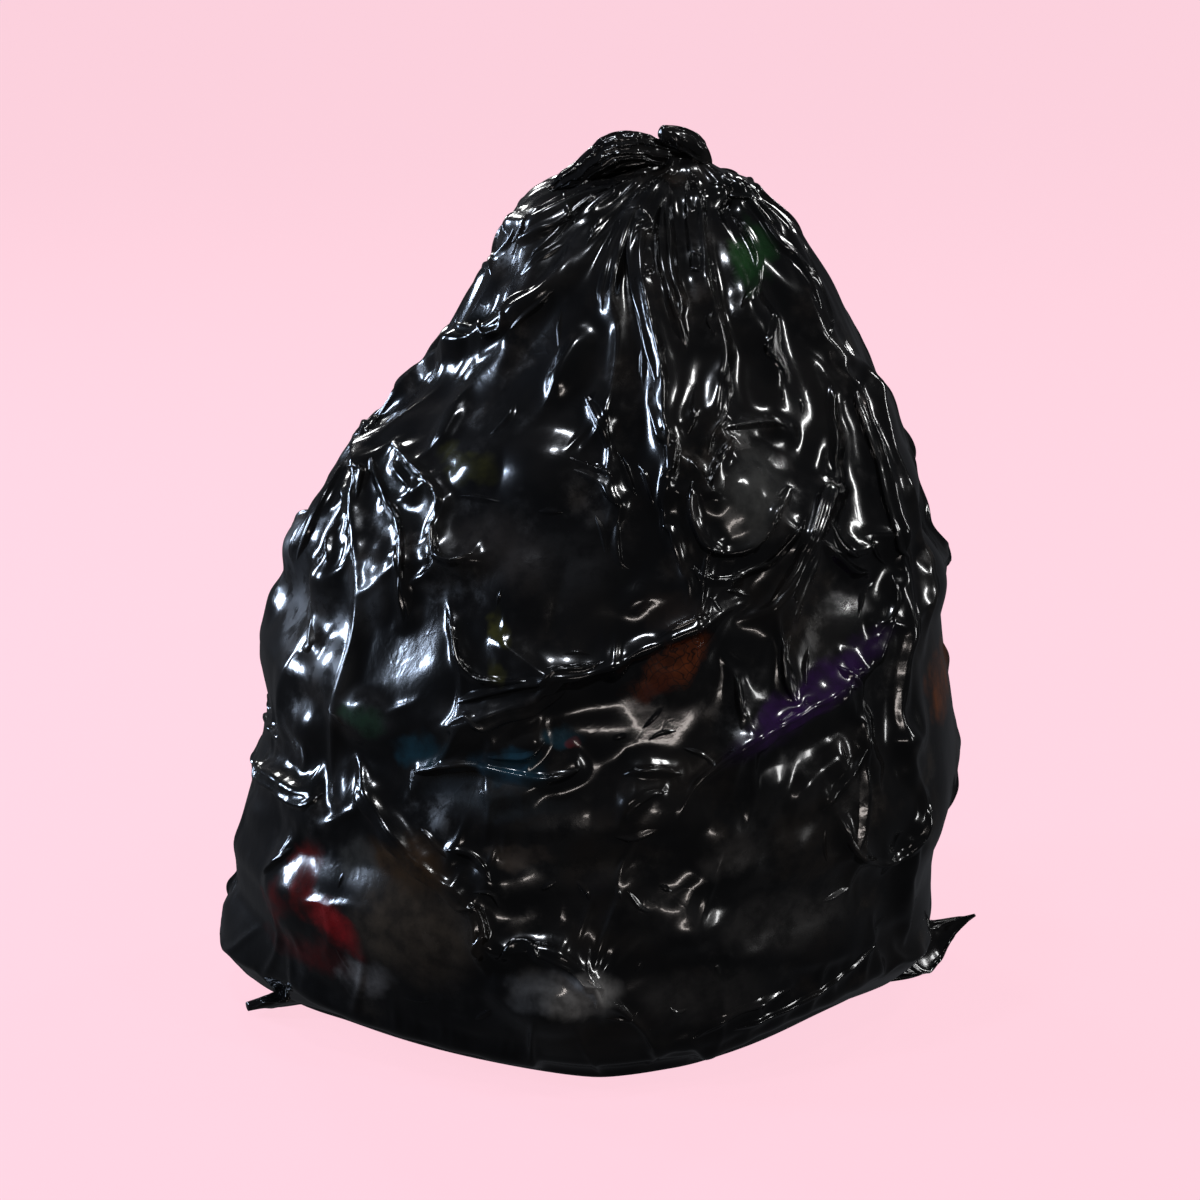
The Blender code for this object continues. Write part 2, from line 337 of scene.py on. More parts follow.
def sweep(p, rest, squeeze, bend):
    # every other link at a time, so that no point is pulled twice at once
    level, upright, leanRight, leanLeft, levelBend, uprightBend = rest
    for first in (0, 1):
        q = np.roll(p, -first, 1)
        pull(q[:, 0::2], q[:, 1::2], np.roll(level, -first, 1)[:, 0::2], 1, squeeze)
        p[:] = np.roll(q, first, 1)
    for first in (0, 1):
        a, b = p[first:-1:2], p[first + 1::2]
        n = min(len(a), len(b))
        pull(a[:n], b[:n], upright[first::2][:n], 1, squeeze)
        for step, slant in ((1, leanRight), (-1, leanLeft)):
            turned = np.roll(b, -step, 1)
            pull(a[:n], turned[:n], slant[first::2][:n], 0.5, squeeze / 2)
            b[:] = np.roll(turned, step, 1)
    for first in (0, 2):
        q = np.roll(p, -first, 1)
        for odd in (0, 1):
            pull(q[:, odd::4], q[:, odd + 2::4], np.roll(levelBend, -first, 1)[:, odd::4], 0, bend)
        p[:] = np.roll(q, first, 1)
    for first in range(4):
        a, b = p[first:-2:4], p[first + 2::4]
        n = min(len(a), len(b))
        pull(a[:n], b[:n], uprightBend[first::4][:n], 0, bend)


def gaps(a, b):
    return np.sqrt(((a - b) * (a - b)).sum(-1))


def filmLengths(base, around, up):
    # the lengths of the film's links, from the base's and how much longer the film is
    level = gaps(np.roll(base, -1, 1), base) * around
    upright = gaps(base[1:], base[:-1]) * up[:-1]
    slant = np.sqrt((around[:-1] ** 2 + up[:-1] ** 2) / 2)
    leanRight = gaps(np.roll(base[1:], -1, 1), base[:-1]) * slant
    leanLeft = gaps(np.roll(base[1:], 1, 1), base[:-1]) * slant
    return level, upright, leanRight, leanLeft, level + np.roll(level, -1, 1), upright[:-1] + upright[1:]


def relax(p, base, normal, low, high, rest, steps, bend, press):
    # drapes the film over the base, between low and high off it; its ends stay where they are
    p, base, normal, low, high = (a.astype(np.float32) for a in (p, base, normal, low, high))
    rest = [lengths.astype(np.float32) for lengths in rest]
    before = p.copy()
    foot, top = p[:1].copy(), p[-2:].copy()
    for _ in range(steps):
        moved = p + cloth["carry"] * (p - before)
        moved -= press * gridNormals(p)
        before, p = p, moved
        for _ in range(cloth["sweeps"]):
            sweep(p, rest, cloth["squeeze"], bend)
        stands = ((p - base) * normal).sum(-1)
        p += (np.clip(stands, low, high) - stands)[..., None] * normal
        before += (p - before) * (stands < low)[..., None] * cloth["drag"]
        p[..., 2] = np.maximum(p[..., 2], cloth["floor"] * mm)
        p[:1] = foot
        p[-2:] = top
    return p


class Surface:
    # finds places on the sack's form by turn and height, or by x and height on its front
    def __init__(self, base):
        self.turns = ringTurns(base.shape[1])
        self.heights = base[:, 0, 2]
        self.axis = np.interp(self.heights, *measured(sack["axis"]))
        offset = base[..., :2].copy()
        offset[..., 0] -= self.axis[:, None]
        self.reach = np.sqrt((offset ** 2).sum(-1))

    def at(self, turn, height):
        row = np.interp(height, self.heights, np.arange(len(self.heights)))
        low = min(int(row), len(self.heights) - 2)
        share = row - low
        reach = self.reach[low] * (1 - share) + self.reach[low + 1] * share
        axis = self.axis[low] * (1 - share) + self.axis[low + 1] * share
        r = np.interp(turn, self.turns, reach, period=tau)
        return np.array((axis + r * cos(turn), r * sin(turn), height))

    def front(self, x, z):
        turns = np.linspace(-pi, 0, 181)
        row = [self.at(turn, z * mm)[0] for turn in turns]
        return self.at(float(np.interp(x * mm, row, turns)), z * mm)

    def route(self, line, step=4):
        return throughPoints([self.front(x, z) for x, z in line], step * mm)


def throughPoints(points, step=4 * mm):
    # a smooth curve through the points
    p = np.array(points, float)
    p = np.concatenate([2 * p[:1] - p[1:2], p, 2 * p[-1:] - p[-2:-1]])
    out = []
    for a, b, c, d in zip(p[:-3], p[1:-2], p[2:-1], p[3:]):
        n = max(1, int(np.linalg.norm(c - b) / step))
        for t in np.arange(n) / n:
            out.append(0.5 * (2 * b + (c - a) * t + (2 * a - 5 * b + 4 * c - d) * t ** 2
                              + (3 * b - a - 3 * c + d) * t ** 3))
    out.append(p[-2])
    return np.array(out)


def distances(line):
    # how far along the line each of its points is
    return np.concatenate([[0], np.cumsum(np.linalg.norm(np.diff(line[:, :3], axis=0), axis=1))])


def evenly(line, count):
    # the line with evenly spaced points, and how far along it each of them is
    along = distances(line)
    even = np.linspace(0, along[-1], count)
    return np.stack([np.interp(even, along, column) for column in line.T], 1), even


def alongLine(p, normal, line, width):
    # the grid points near the line, how far off it they are, and where along it, from 0 to 1
    margin = 3.2 * width + 12 * mm  # points further off take no part
    near = np.all((p > line.min(0) - margin) & (p < line.max(0) + margin), -1)
    index = np.where(near.ravel())[0]
    q = p.reshape(-1, 3)[index]
    n = normal.reshape(-1, 3)[index]
    best = np.full(len(q), np.inf)
    share = np.zeros(len(q))
    total = max(len(line) - 1, 1)
    for i, (a, b) in enumerate(zip(line[:-1], line[1:])):
        run = b - a
        t = np.clip(((q - a) @ run) / (run @ run), 0, 1)
        off = q - a - t[:, None] * run
        off -= (off * n).sum(-1)[:, None] * n
        far = np.sqrt((off * off).sum(-1))
        closer = far < best
        best = np.where(closer, far, best)
        share = np.where(closer, (i + t) / total, share)
    return index, best, share


# What the litter inside does to the film.
litter = {
    # domes on the side to the front: x, height, half width, half height, how far it stands out
    "domes": (
        (-113, 98, 50, 46, 8), (-159, 170, 18, 26, 7), (-186, 150, 30, 14, 8), (-205, 100, 26, 30, 6),
        (-36, 66, 36, 28, 10), (30, 50, 26, 22, 5), (31, 180, 34, 20, 6), (60, 103, 24, 18, 5),
        (173, 150, 28, 32, 7), (89, 362, 24, 30, 9), (94, 458, 20, 18, 5), (-39, 378, 26, 22, 6),
        (-8, 305, 26, 24, 5), (-50, 310, 26, 22, 5), (78, 150, 22, 16, 5), (-50, 182, 46, 16, 4),
        (-140, 304, 22, 26, 6), (-180, 288, 20, 22, 6), (-168, 248, 22, 20, 6), (-150, 220, 30, 18, 6),
        (40, 266, 26, 20, 4), (128, 240, 40, 24, 4), (112, 420, 20, 26, 4), (35, 380, 18, 22, 3),
        (-83, 374, 20, 14, 4), (150, 80, 40, 26, 5), (105, 190, 30, 18, 5), (-20, 225, 34, 16, 4),
        (-190, 200, 20, 18, 5), (-60, 132, 26, 14, 5), (12, 132, 20, 14, 4), (95, 60, 30, 20, 4),
    ),
    "domeFill": 0.6,  # how much of its width a dome falls away over
    "domeRound": 1.5,
    # lumps on the sides and the back, each a random number between these two
    "hiddenLumps": 46,
    "lumpSeed": 7,
    "lumpTurn": (-0.12, pi + 0.12),  # radians
    "lumpHeight": (30, 430),
    "lumpHalfWidth": (18, 50),
    "lumpHalfHeight": (14, 40),
    "lumpStands": (4, 10),
}


def litterPush(p, surface, s):
    # how far the litter pushes each point of the grid out
    lumps = [(surface.front(x, z), width * mm, height * mm, out * mm)
             for x, z, width, height, out in s["domes"]]
    dice = np.random.default_rng(s["lumpSeed"])
    for _ in range(s["hiddenLumps"]):
        turn = dice.uniform(*s["lumpTurn"])
        centre = surface.at(turn, dice.uniform(*s["lumpHeight"]) * mm)
        width, height = dice.uniform(*s["lumpHalfWidth"]) * mm, dice.uniform(*s["lumpHalfHeight"]) * mm
        lumps.append((centre, width, height, dice.uniform(*s["lumpStands"]) * mm))
    push = np.zeros(p.shape[:2])
    for centre, width, height, out in lumps:
        away = ((p[..., 0] - centre[0]) ** 2 + (p[..., 1] - centre[1]) ** 2) / width ** 2
        away += ((p[..., 2] - centre[2]) / height) ** 2
        push = np.maximum(push, out * np.clip(1 - away * s["domeFill"], 0, 1) ** s["domeRound"])
    return push


# The folds that the film is pulled into, as x and height of the points along each one. A roll of
# pinched film is laid on those that are rolled.
folds = {
    # tight folds that hold the film up off the litter like a tent
    "taut": {"stands": 9, "width": 13, "lines": (
        ((40, 538), (-14, 520), (-39, 510), (-65, 500)),
        ((-16, 497), (-40, 470), (-76, 440), (-112, 412), (-129, 390), (-146, 378)),
        ((-146, 378), (-155, 362), (-165, 345), (-175, 325), (-188, 303), (-197, 285)),
        ((-147, 376), (-151, 356), (-154, 335), (-150, 300), (-161, 242), (-168, 190)),
        ((66, 536), (104, 504), (130, 465), (152, 416), (171, 366), (183, 316), (190, 268), (191, 200)),
        ((93, 515), (137, 438), (168, 412), (187, 348), (201, 295), (204, 250)),
        ((43, 540), (13, 507), (3, 472), (5, 440), (-3, 400)),
        ((42, 540), (27, 512), (25, 479), (37, 421), (40, 383)),
        ((56, 530), (60, 481), (74, 440), (60, 400)),
        ((-71, 284), (-30, 262), (10, 272), (67, 296)),
        ((-95, 227), (-60, 240), (-14, 262), (47, 288)),
        ((77, 208), (105, 224), (141, 237), (158, 249)),
        ((-221, 152), (-207, 160), (-190, 162), (-174, 170)),
        ((-150, 184), (-115, 144), (-80, 118), (-76, 80)),
        ((-67, 88), (-37, 94), (-11, 80), (1, 52)),
        ((140, 362), (122, 331), (110, 305), (96, 290)),
    )},
    # rolls of spare film, pinched together
    "welts": {"stands": 3.6, "width": 3.4, "rolled": True, "lines": (
        ((38, 545), (27, 539), (20, 534), (13, 530), (5, 527)),
        ((41, 543), (34, 539), (22, 533), (14, 528), (8, 523), (-2, 517), (-11, 510), (-23, 500),
         (-36, 490), (-51, 478)),
        ((15, 543), (-2, 535), (-16, 525), (-29, 517), (-39, 510), (-44, 505)),
        ((8, 535), (-2, 526), (-16, 519), (-28, 510), (-40, 502), (-60, 484)),
        ((27, 529), (22, 521), (14, 515), (9, 509)),
        ((37, 529), (32, 524), (25, 516), (18, 511), (14, 507), (10, 501), (3, 495)),
        ((38, 529), (35, 524), (30, 517), (25, 511), (23, 504), (23, 493), (25, 479), (29, 461),
         (33, 445), (37, 421)),
        ((14, 518), (8, 513), (-2, 508), (-11, 497)),
        ((-18, 501), (-27, 495), (-36, 489), (-43, 483)),
        ((39, 529), (39, 520), (41, 510), (42, 493), (44, 480), (48, 465), (45, 455), (54, 443)),
        ((57, 527), (57, 517), (58, 505), (59, 492), (60, 481), (65, 463), (69, 451)),
        ((7, 493), (3, 472), (5, 456)),
        ((-65, 498), (-55, 510)),
        ((-61, 498), (-51, 508)),
        ((-36, 517), (-46, 508)),
        ((68, 536), (83, 528), (93, 520), (102, 510)),
        ((-65, 505), (-70, 487), (-68, 471)),
        ((-40, 470), (-55, 459), (-60, 450), (-76, 440), (-112, 412), (-129, 390), (-146, 378)),
        ((-146, 378), (-155, 362), (-165, 345), (-175, 325), (-188, 303), (-197, 285)),
        ((-147, 376), (-151, 356), (-154, 335)),
        ((-25, 467), (-27, 459), (-29, 444)),
        ((66, 536), (85, 522), (104, 504), (121, 492)),
        ((93, 515), (110, 490), (130, 465), (137, 438)),
        ((73, 472), (72, 458)),
        ((106, 462), (103, 454), (100, 442), (110, 427), (115, 421)),
        ((153, 437), (156, 424)),
        ((72, 440), (78, 424)),
        ((25, 450), (24, 437), (23, 426)),
        ((-133, 377), (-121, 371), (-109, 364), (-102, 357), (-100, 350), (-107, 342)),
        ((-132, 368), (-115, 352)),
        ((-56, 415), (-60, 405), (-72, 395)),
        ((-91, 358), (-64, 358)),
        ((-104, 345), (-104, 328), (-93, 322), (-77, 331)),
        ((-124, 315), (-123, 295), (-123, 276)),
        ((-96, 290), (-91, 278), (-85, 263), (-74, 257), (-53, 257), (-30, 260)),
        ((-183, 268), (-182, 252), (-191, 250)),
        ((-13, 420), (-6, 411), (-1, 406), (1, 394), (-1, 385), (-7, 382)),
        ((-21, 386), (-10, 382), (8, 375)),
        ((-19, 379), (-6, 376), (5, 364), (12, 357)),
        ((-6, 356), (-1, 346), (2, 331)),
        ((9, 351), (8, 335), (11, 327), (17, 325)),
        ((19, 385), (25, 376), (29, 359)),
        ((11, 391), (15, 378), (21, 365)),
        ((29, 428), (31, 413), (39, 400), (41, 383), (34, 357)),
        ((31, 348), (39, 350), (43, 340), (47, 323), (51, 310)),
        ((55, 327), (58, 316)),
        ((65, 308), (71, 301), (74, 295)),
        ((31, 283), (47, 290), (67, 296)),
        ((-26, 275), (-16, 277), (-6, 275)),
        ((-93, 242), (-51, 255), (-14, 264), (11, 272)),
        ((-95, 227), (-60, 238), (-34, 248), (-22, 256)),
        ((-41, 354), (-24, 355)),
        ((-62, 310), (-66, 298)),
        ((55, 376), (54, 358), (59, 345), (66, 335), (76, 332), (88, 334), (98, 343), (106, 355), (117, 368)),
        ((53, 325), (63, 318), (78, 316), (94, 318), (106, 326), (116, 337), (124, 349)),
        ((51, 390), (57, 379), (67, 365), (71, 381), (83, 399)),
        ((75, 308), (91, 305)),
        ((71, 401), (98, 404), (122, 392)),
        ((140, 362), (134, 357), (128, 342), (122, 331), (118, 318), (110, 305), (96, 290)),
        ((134, 332), (130, 320), (122, 301), (116, 288), (111, 280)),
        ((134, 332), (144, 318), (156, 306), (166, 304)),
        ((142, 340), (148, 324), (160, 314)),
        ((111, 280), (110, 271), (112, 252), (117, 237), (124, 233)),
        ((77, 208), (87, 218), (105, 224), (124, 233), (141, 237), (158, 249)),
        ((129, 271), (125, 259), (124, 246)),
        ((117, 279), (116, 265)),
        ((80, 262), (83, 246), (84, 226), (87, 219)),
        ((170, 297), (164, 293), (161, 279)),
        ((179, 300), (182, 288), (179, 277), (166, 270)),
        ((182, 276), (175, 263), (170, 252), (169, 245)),
        ((169, 330), (168, 320), (172, 311), (177, 305)),
        ((152, 416), (162, 391), (171, 366), (179, 336), (183, 316), (188, 290), (193, 268), (193, 250)),
        ((168, 412), (179, 380), (187, 348), (196, 317), (201, 295), (205, 264)),
        ((141, 420), (143, 398), (145, 360)),
        ((57, 428), (55, 411), (51, 398)),
        ((73, 428), (71, 410), (65, 396), (64, 387)),
        ((110, 420), (113, 411)),
        ((124, 414), (126, 402)),
        ((-221, 152), (-207, 160), (-190, 160), (-179, 160), (-174, 170)),
        ((-193, 132), (-203, 120), (-213, 106)),
        ((-169, 76), (-160, 62)),
        ((-150, 184), (-133, 160), (-115, 144), (-95, 131), (-80, 118), (-75, 98), (-76, 80)),
        ((-113, 165), (-94, 147)),
        ((-80, 128), (-68, 130), (-62, 118)),
        ((-126, 50), (-105, 53)),
        ((-81, 42), (-70, 52)),
        ((-163, 128), (-167, 116)),
        ((-170, 228), (-158, 213)),
        ((-219, 178), (-206, 184)),
        ((-67, 88), (-60, 94), (-37, 94), (-25, 89), (-11, 80), (-4, 66), (1, 52)),
        ((1, 50), (17, 48), (23, 58)),
        ((21, 79), (25, 86)),
        ((41, 56), (45, 50), (55, 52)),
        ((70, 81), (73, 73)),
        ((7, 137), (12, 126)),
        ((15, 133), (25, 121), (33, 119)),
        ((-17, 138), (-12, 133), (-9, 125)),
        ((-38, 131), (-28, 136)),
        ((35, 135), (43, 131)),
        ((14, 175), (17, 185), (27, 191), (41, 193)),
        ((5, 165), (17, 164), (35, 171)),
        ((10, 203), (33, 204), (51, 202)),
        ((47, 218), (61, 214), (67, 208)),
        ((27, 221), (35, 226), (47, 227)),
        ((5, 223), (17, 226)),
        ((23, 228), (29, 233), (39, 243)),
        ((151, 160), (151, 150), (157, 138), (166, 130), (177, 124), (189, 124), (199, 132), (204, 148),
         (206, 165)),
        ((141, 157), (140, 143), (142, 133)),
        ((135, 168), (149, 183), (161, 200), (168, 220)),
        ((138, 107), (158, 112)),
        ((170, 77), (183, 80)),
    )},
    # long straight pleats fanning from the knot, and from the corner that juts out on the left
    "pleats": {"stands": 3, "width": 4, "rolled": True, "lines": (
        ((37, 537), (15, 522), (-2, 509), (-10, 500)),
        ((26, 537), (4, 526), (-21, 513), (-57, 479)),
        ((17, 535), (-10, 523), (-35, 510), (-59, 490)),
        ((40, 533), (26, 516), (23, 501), (15, 484)),
        ((-18, 514), (-35, 497), (-51, 479)),
        ((-58, 448), (-48, 458), (-34, 471), (-21, 480)),
        ((38, 530), (37, 518), (37, 501), (42, 473), (52, 446)),
        ((55, 528), (56, 515), (58, 497), (66, 469), (69, 450)),
        ((23, 503), (25, 480), (31, 467)),
        ((66, 535), (87, 526), (109, 508), (125, 485), (132, 463)),
        ((65, 531), (89, 517), (108, 496), (119, 476), (134, 447)),
        ((80, 514), (90, 503), (96, 490), (93, 475), (85, 463)),
        ((-148, 381), (-160, 356), (-176, 323), (-186, 304), (-192, 292)),
        ((-147, 379), (-154, 357), (-162, 333), (-169, 317), (-171, 300)),
        ((-145, 366), (-141, 354), (-127, 334), (-124, 319), (-123, 292)),
        ((-127, 326), (-121, 301), (-120, 278)),
        ((-72, 211), (-45, 213), (-34, 223)),
        ((-118, 194), (-82, 204), (-40, 198), (-8, 208)),
        ((-99, 153), (-77, 149), (-64, 126)),
        ((78, 33), (123, 42), (155, 57), (175, 72)),
        ((54, 30), (85, 47), (123, 53)),
        ((143, 257), (157, 232), (162, 195), (160, 158), (153, 128)),
    )},
    # low wide rolls that only dim light shows
    "soft": {"stands": 3, "width": 8, "rolled": False, "lines": (
        ((-16, 452), (-22, 439), (-34, 422)),
        ((-88, 405), (-94, 399), (-104, 380)),
        ((-72, 211), (-50, 215), (-34, 222)),
        ((-72, 188), (-50, 193), (-34, 199), (-10, 208)),
        ((-143, 92), (-128, 68)),
        ((60, 15), (120, 30), (180, 45)),
        ((30, 22), (90, 34), (150, 52)),
        ((204, 148), (197, 120), (195, 95), (196, 60)),
        ((21, 108), (45, 113)),
        ((118, 168), (138, 190), (151, 200)),
        ((196, 205), (196, 170)),
        ((203, 222), (203, 200)),
        ((-200, 40), (-120, 22), (-40, 14)),
        ((145, 240), (165, 200), (172, 180)),
    )},
    # where the film is drawn in
    "valleys": {"stands": -5, "width": 7, "rolled": False, "lines": (
        ((33, 522), (33, 511), (32, 500), (32, 480)),
        ((46, 520), (48, 509), (50, 496), (52, 486)),
        ((-71, 283), (-30, 284), (5, 285), (35, 283)),
        ((-126, 184), (-120, 170), (-99, 150)),
        ((-150, 330), (-140, 290), (-128, 250), (-112, 225)),
        ((-103, 300), (-104, 270), (-96, 248), (-70, 246)),
        ((60, 326), (76, 324), (92, 326), (106, 340)),
        ((-30, 404), (-14, 396), (-12, 372), (-12, 350)),
        ((16, 440), (16, 410), (10, 400), (18, 392)),
        ((66, 520), (78, 480), (84, 440), (88, 420)),
        ((-180, 100), (-176, 76), (-150, 50)),
        ((-60, 110), (-20, 108), (10, 96), (22, 70)),
        ((60, 178), (80, 190), (120, 200), (150, 214)),
    )},
}


# The film wall. Its gathers are the pleats round the neck that the knot makes.
film = {
    "seed": 11,
    "steps": (250, 160, 45),  # on each grid, coarse to fine
    "quickSteps": (200, 80, 10),
    "bend": (0.15, 0.12, 0.06),  # how hard the film is to bend on each grid
    "press": 0.03,  # in each step, halved on each finer grid
    "extraAtFirst": 0.012,  # how much longer the film is than the litter is round, at first
    "extraAround": 0.065,
    "extraNearNeck": 0.2,
    "gatheredFrom": 340,  # the height from which the film has more and more to spare
    "gatheredOver": 180,
    "frontGathered": 0.2,  # the share of that on the front, which its folds take up
    "spareLeast": 0.2,  # how much of the extra is away from the folds, and at them
    "spareMost": 0.85,
    "spareSpread": 6,  # rounds that spread this around each fold
    "spareGain": 2.2,
    "uprightMost": 0.08,
    "uprightShare": 0.6,  # the film is less spare upwards than around, least of all at the neck
    "uprightShareNeck": 0.15,
    "inset": 5.5,  # how far the film may sink between what pushes it out
    "proud": 1.5,  # and stand off
    "tightFrom": 420,  # it follows the sack more closely from here up
    "tightOver": 70,
    "insetTight": 0.2,
    "insetSides": 0.35,  # the outline keeps to the frame
    "sidesFrom": 0.75,  # as the cosine of the turn
    "sidesOver": 0.2,
    "proudTight": 0.3,
    "neckLift": 3,
    "neckLiftOver": 90,
    "foldHold": 0.8,  # the share of a fold's first height that the film can't sink below
    "foldRoom": 1.2,
    "valleyDepth": 0.6,
    "foldFull": 2,  # the height from which a fold counts in full
    "thinnest": 0.5,  # between the two limits
    "footHeight": 20,
    "endStep": 1,  # how far the film's ends may stand off
    "endInset": 4,
    "pleats": 22,  # gathered into the neck
    "pleatsFrom": 360,
    "pleatsOver": 170,
    "pleatDepth": 0.12,  # a share of the reach
    "quiver": 0.6,
    "gathers": 46,
    "gathersStand": 3.2,
    "gathersTurn": 2.2,  # radians that they turn in each 100 mm down
    "gathersFrom": 400,
    "gathersOver": 90,
    "gathersTop": 552,
    "gathersEnd": 20,
    "swellShare": 0.5,  # the film only swells under a roll, half as high and wider
    "swellWidth": 1.7,
    "shortest": 8,  # points; a shorter fold leaves no swell
    "tentStep": 8,  # between the points along a taut fold
    "tentEnds": 0.25,  # how high its ends are, against its middle
    "tentRise": 8,  # how steeply it rises from them
    "startInset": 2,  # of the film before it is let go
    "startHeld": 0.8,
    "foldSeed": 9,
    "foldReach": 2.2,  # how many half widths a fold is felt over
    "foldTaper": 8,
    "foldTaperMost": 0.45,  # a share of the fold's length
    "foldWaves": (18, 35),  # how long the swells along a fold are
    "foldWaveHeight": 0.15,
    "smoothing": 26,  # rounds that take out the finest grid's own ripple
    "smoothingUp": 16,
    "smoothingAll": 2,  # of them over the whole film, the others where columns crowd at the neck
    "crowdedFrom": 400,
    "crowdedOver": 100,
}


# The far side's folds: the front's, turned round and drifted, and short ones that wander.
farSide = {
    "seed": 21,
    "skipped": 0.12,  # the share of the front's folds that the back doesn't have
    "drift": 0.10,  # radians
    "lift": 12,
    "heights": (10, 540),
    "sway": 0.25,  # radians
    "count": 40,
    "turns": (-0.1, pi + 0.1),
    "starts": (20, 500),
    "lengths": (20, 90),
    "step": 12,
    "steepFrom": 250,  # from here up more and more of them run to the neck
    "steepOver": 150,
    "steepSpread": 0.25,
    "bend": 0.35,
    "unsteady": 0.15,
    "leastReach": 30,
    "wanderHeights": (8, 525),
    "sizes": (0.5, 1),
    "stands": 3.5,
    "width": 3.5,
    "leastWidth": 0.6,  # of that, however small the fold is
}


def onFront(turns):
    return np.clip(-2 * np.sin(turns), 0, 1)


def neckPleats(turns, z, s):
    # long smooth gathers that run down from the knot and fade out over the shoulders
    phase = s["gathers"] * turns / 2 + 1.7 * np.sin(2 * turns + 0.6) + 1.1 * np.sin(3 * turns + 2.1)
    phase = phase + 0.8 * np.sin(7 * turns + 1) + s["gathersTurn"] * (0.53 - z) / 0.1
    height = 0.62 + 0.38 * np.sin(5 * turns + 2.2 * np.sin(3 * turns) + z / 0.03)
    calm = 1 - 0.75 * np.exp(-((np.mod(turns + 1.1 + pi, tau) - pi) / 0.45) ** 2)  # right of the knot
    fade = ramp(z, s["gathersFrom"] * mm, s["gathersOver"] * mm) ** 1.4
    fade = fade * ramp(z, s["gathersTop"] * mm, -s["gathersEnd"] * mm)
    return (np.abs(np.cos(phase)) ** 1.3 - 0.35) * height * calm * fade * s["gathersStand"] * mm


def tent(p, normal, surface, group, s):
    # how far taut folds hold the film up, like a tent over a rope
    up = np.zeros(p.shape[:2])
    flat = up.reshape(-1)
    width = group["width"] * mm
    for line in group["lines"]:
        index, far, share = alongLine(p, normal, surface.route(line, s["tentStep"]), width)
        ends = np.clip(np.minimum(share, 1 - share) * s["tentRise"] + s["tentEnds"], 0, 1)
        flat[index] = np.maximum(flat[index], ends * np.clip(1 - far / width, 0, 1))
    return up * group["stands"] * mm


def turnedRound(line, surface, dice, s):
    # one of the front's folds, turned round to the back and drifted
    drift, lift = dice.normal(0, s["drift"]), dice.normal(0, s["lift"] * mm)
    least, most = s["heights"]
    points = []
    for x, z in line:
        place = surface.front(x, z)
        turn = np.arctan2(place[1], place[0] - np.interp(z * mm, surface.heights, surface.axis))
        height = z * mm + lift * ramp(z, 500, -100)
        height = float(np.clip(height, least * mm, most * mm))
        points.append(surface.at(-turn + drift + s["sway"] * np.sin(height / (70 * mm)), height))
    return throughPoints(points)


def wanderingRoutes(surface, s):
    # short folds anywhere on the far side; high up they run to the neck
    dice = np.random.default_rng(s["seed"])
    step = s["step"] * mm
    least, most = s["wanderHeights"]
    routes = []
    for _ in range(s["count"]):
        turn = dice.uniform(*s["turns"])
        height = dice.uniform(*s["starts"]) * mm
        steep = ramp(height, s["steepFrom"] * mm, s["steepOver"] * mm)
        heading = dice.normal(pi / 2, s["steepSpread"]) if dice.random() < steep else dice.uniform(0, pi)
        bend = dice.normal(0, s["bend"])
        length = dice.uniform(*s["lengths"]) * mm
        points = []
        for _ in range(int(length / step) + 2):
            points.append(surface.at(turn, height))
            reach = max(np.hypot(points[-1][0], points[-1][1]), s["leastReach"] * mm)
            turn += cos(heading) * step / reach
            height = float(np.clip(height + sin(heading) * step, least * mm, most * mm))
            heading += bend / 2 + dice.normal(0, s["unsteady"])
        size = dice.uniform(*s["sizes"])
        width = s["width"] * mm * (s["leastWidth"] + (1 - s["leastWidth"]) * size)
        routes.append((throughPoints(points), s["stands"] * mm * size, width, True))
    return routes


def foldRoutes(surface, s):
    # every fold as its points on the sack, how far it stands out, half its width, and whether a
    # roll is laid on it
    routes = []
    for name in ("welts", "pleats", "soft", "valleys"):
        group = folds[name]
        for line in group["lines"]:
            routes.append((surface.route(line), group["stands"] * mm, group["width"] * mm, group["rolled"]))
    welts = folds["welts"]
    dice = np.random.default_rng(s["seed"])
    for line in welts["lines"]:
        if dice.random() >= s["skipped"]:
            route = turnedRound(line, surface, dice, s)
            routes.append((route, welts["stands"] * mm, welts["width"] * mm, True))
    return routes + wanderingRoutes(surface, s)


def spread(field, times):
    for _ in range(times):
        field = (field + np.roll(field, 1, 1) + np.roll(field, -1, 1)) / 3
        tall = np.concatenate([field[:1], field, field[-1:]])
        field = (tall[:-2] + tall[1:-1] + tall[2:]) / 3
    return field


def foldField(p, routes, s):
    # how far the film starts out or in along the folds, before it is let go
    dice = np.random.default_rng(s["foldSeed"])
    normal = gridNormals(p)
    count = p.shape[0] * p.shape[1]
    ridge, valley = np.zeros(count), np.zeros(count)
    for route, stands, width in routes:
        reach = s["foldReach"] * width
        index, far, share = alongLine(p, normal, route, reach)
        near = far < reach
        if not near.any():
            continue
        index, far, share = index[near], far[near], share[near]
        length = distances(route)[-1]
        taper = min(s["foldTaperMost"], s["foldTaper"] * mm / length)
        ends = easeIn(np.minimum(share, 1 - share) / taper)
        wave = dice.uniform(*s["foldWaves"]) * mm
        ends *= 1 + s["foldWaveHeight"] * np.sin(share * length / wave * tau + dice.uniform(0, tau))
        field = ridge if stands > 0 else valley
        field[index] = np.maximum(field[index], abs(stands) * ends * np.exp(-(far / width) ** 2))
    return (ridge - valley).reshape(p.shape[:2])


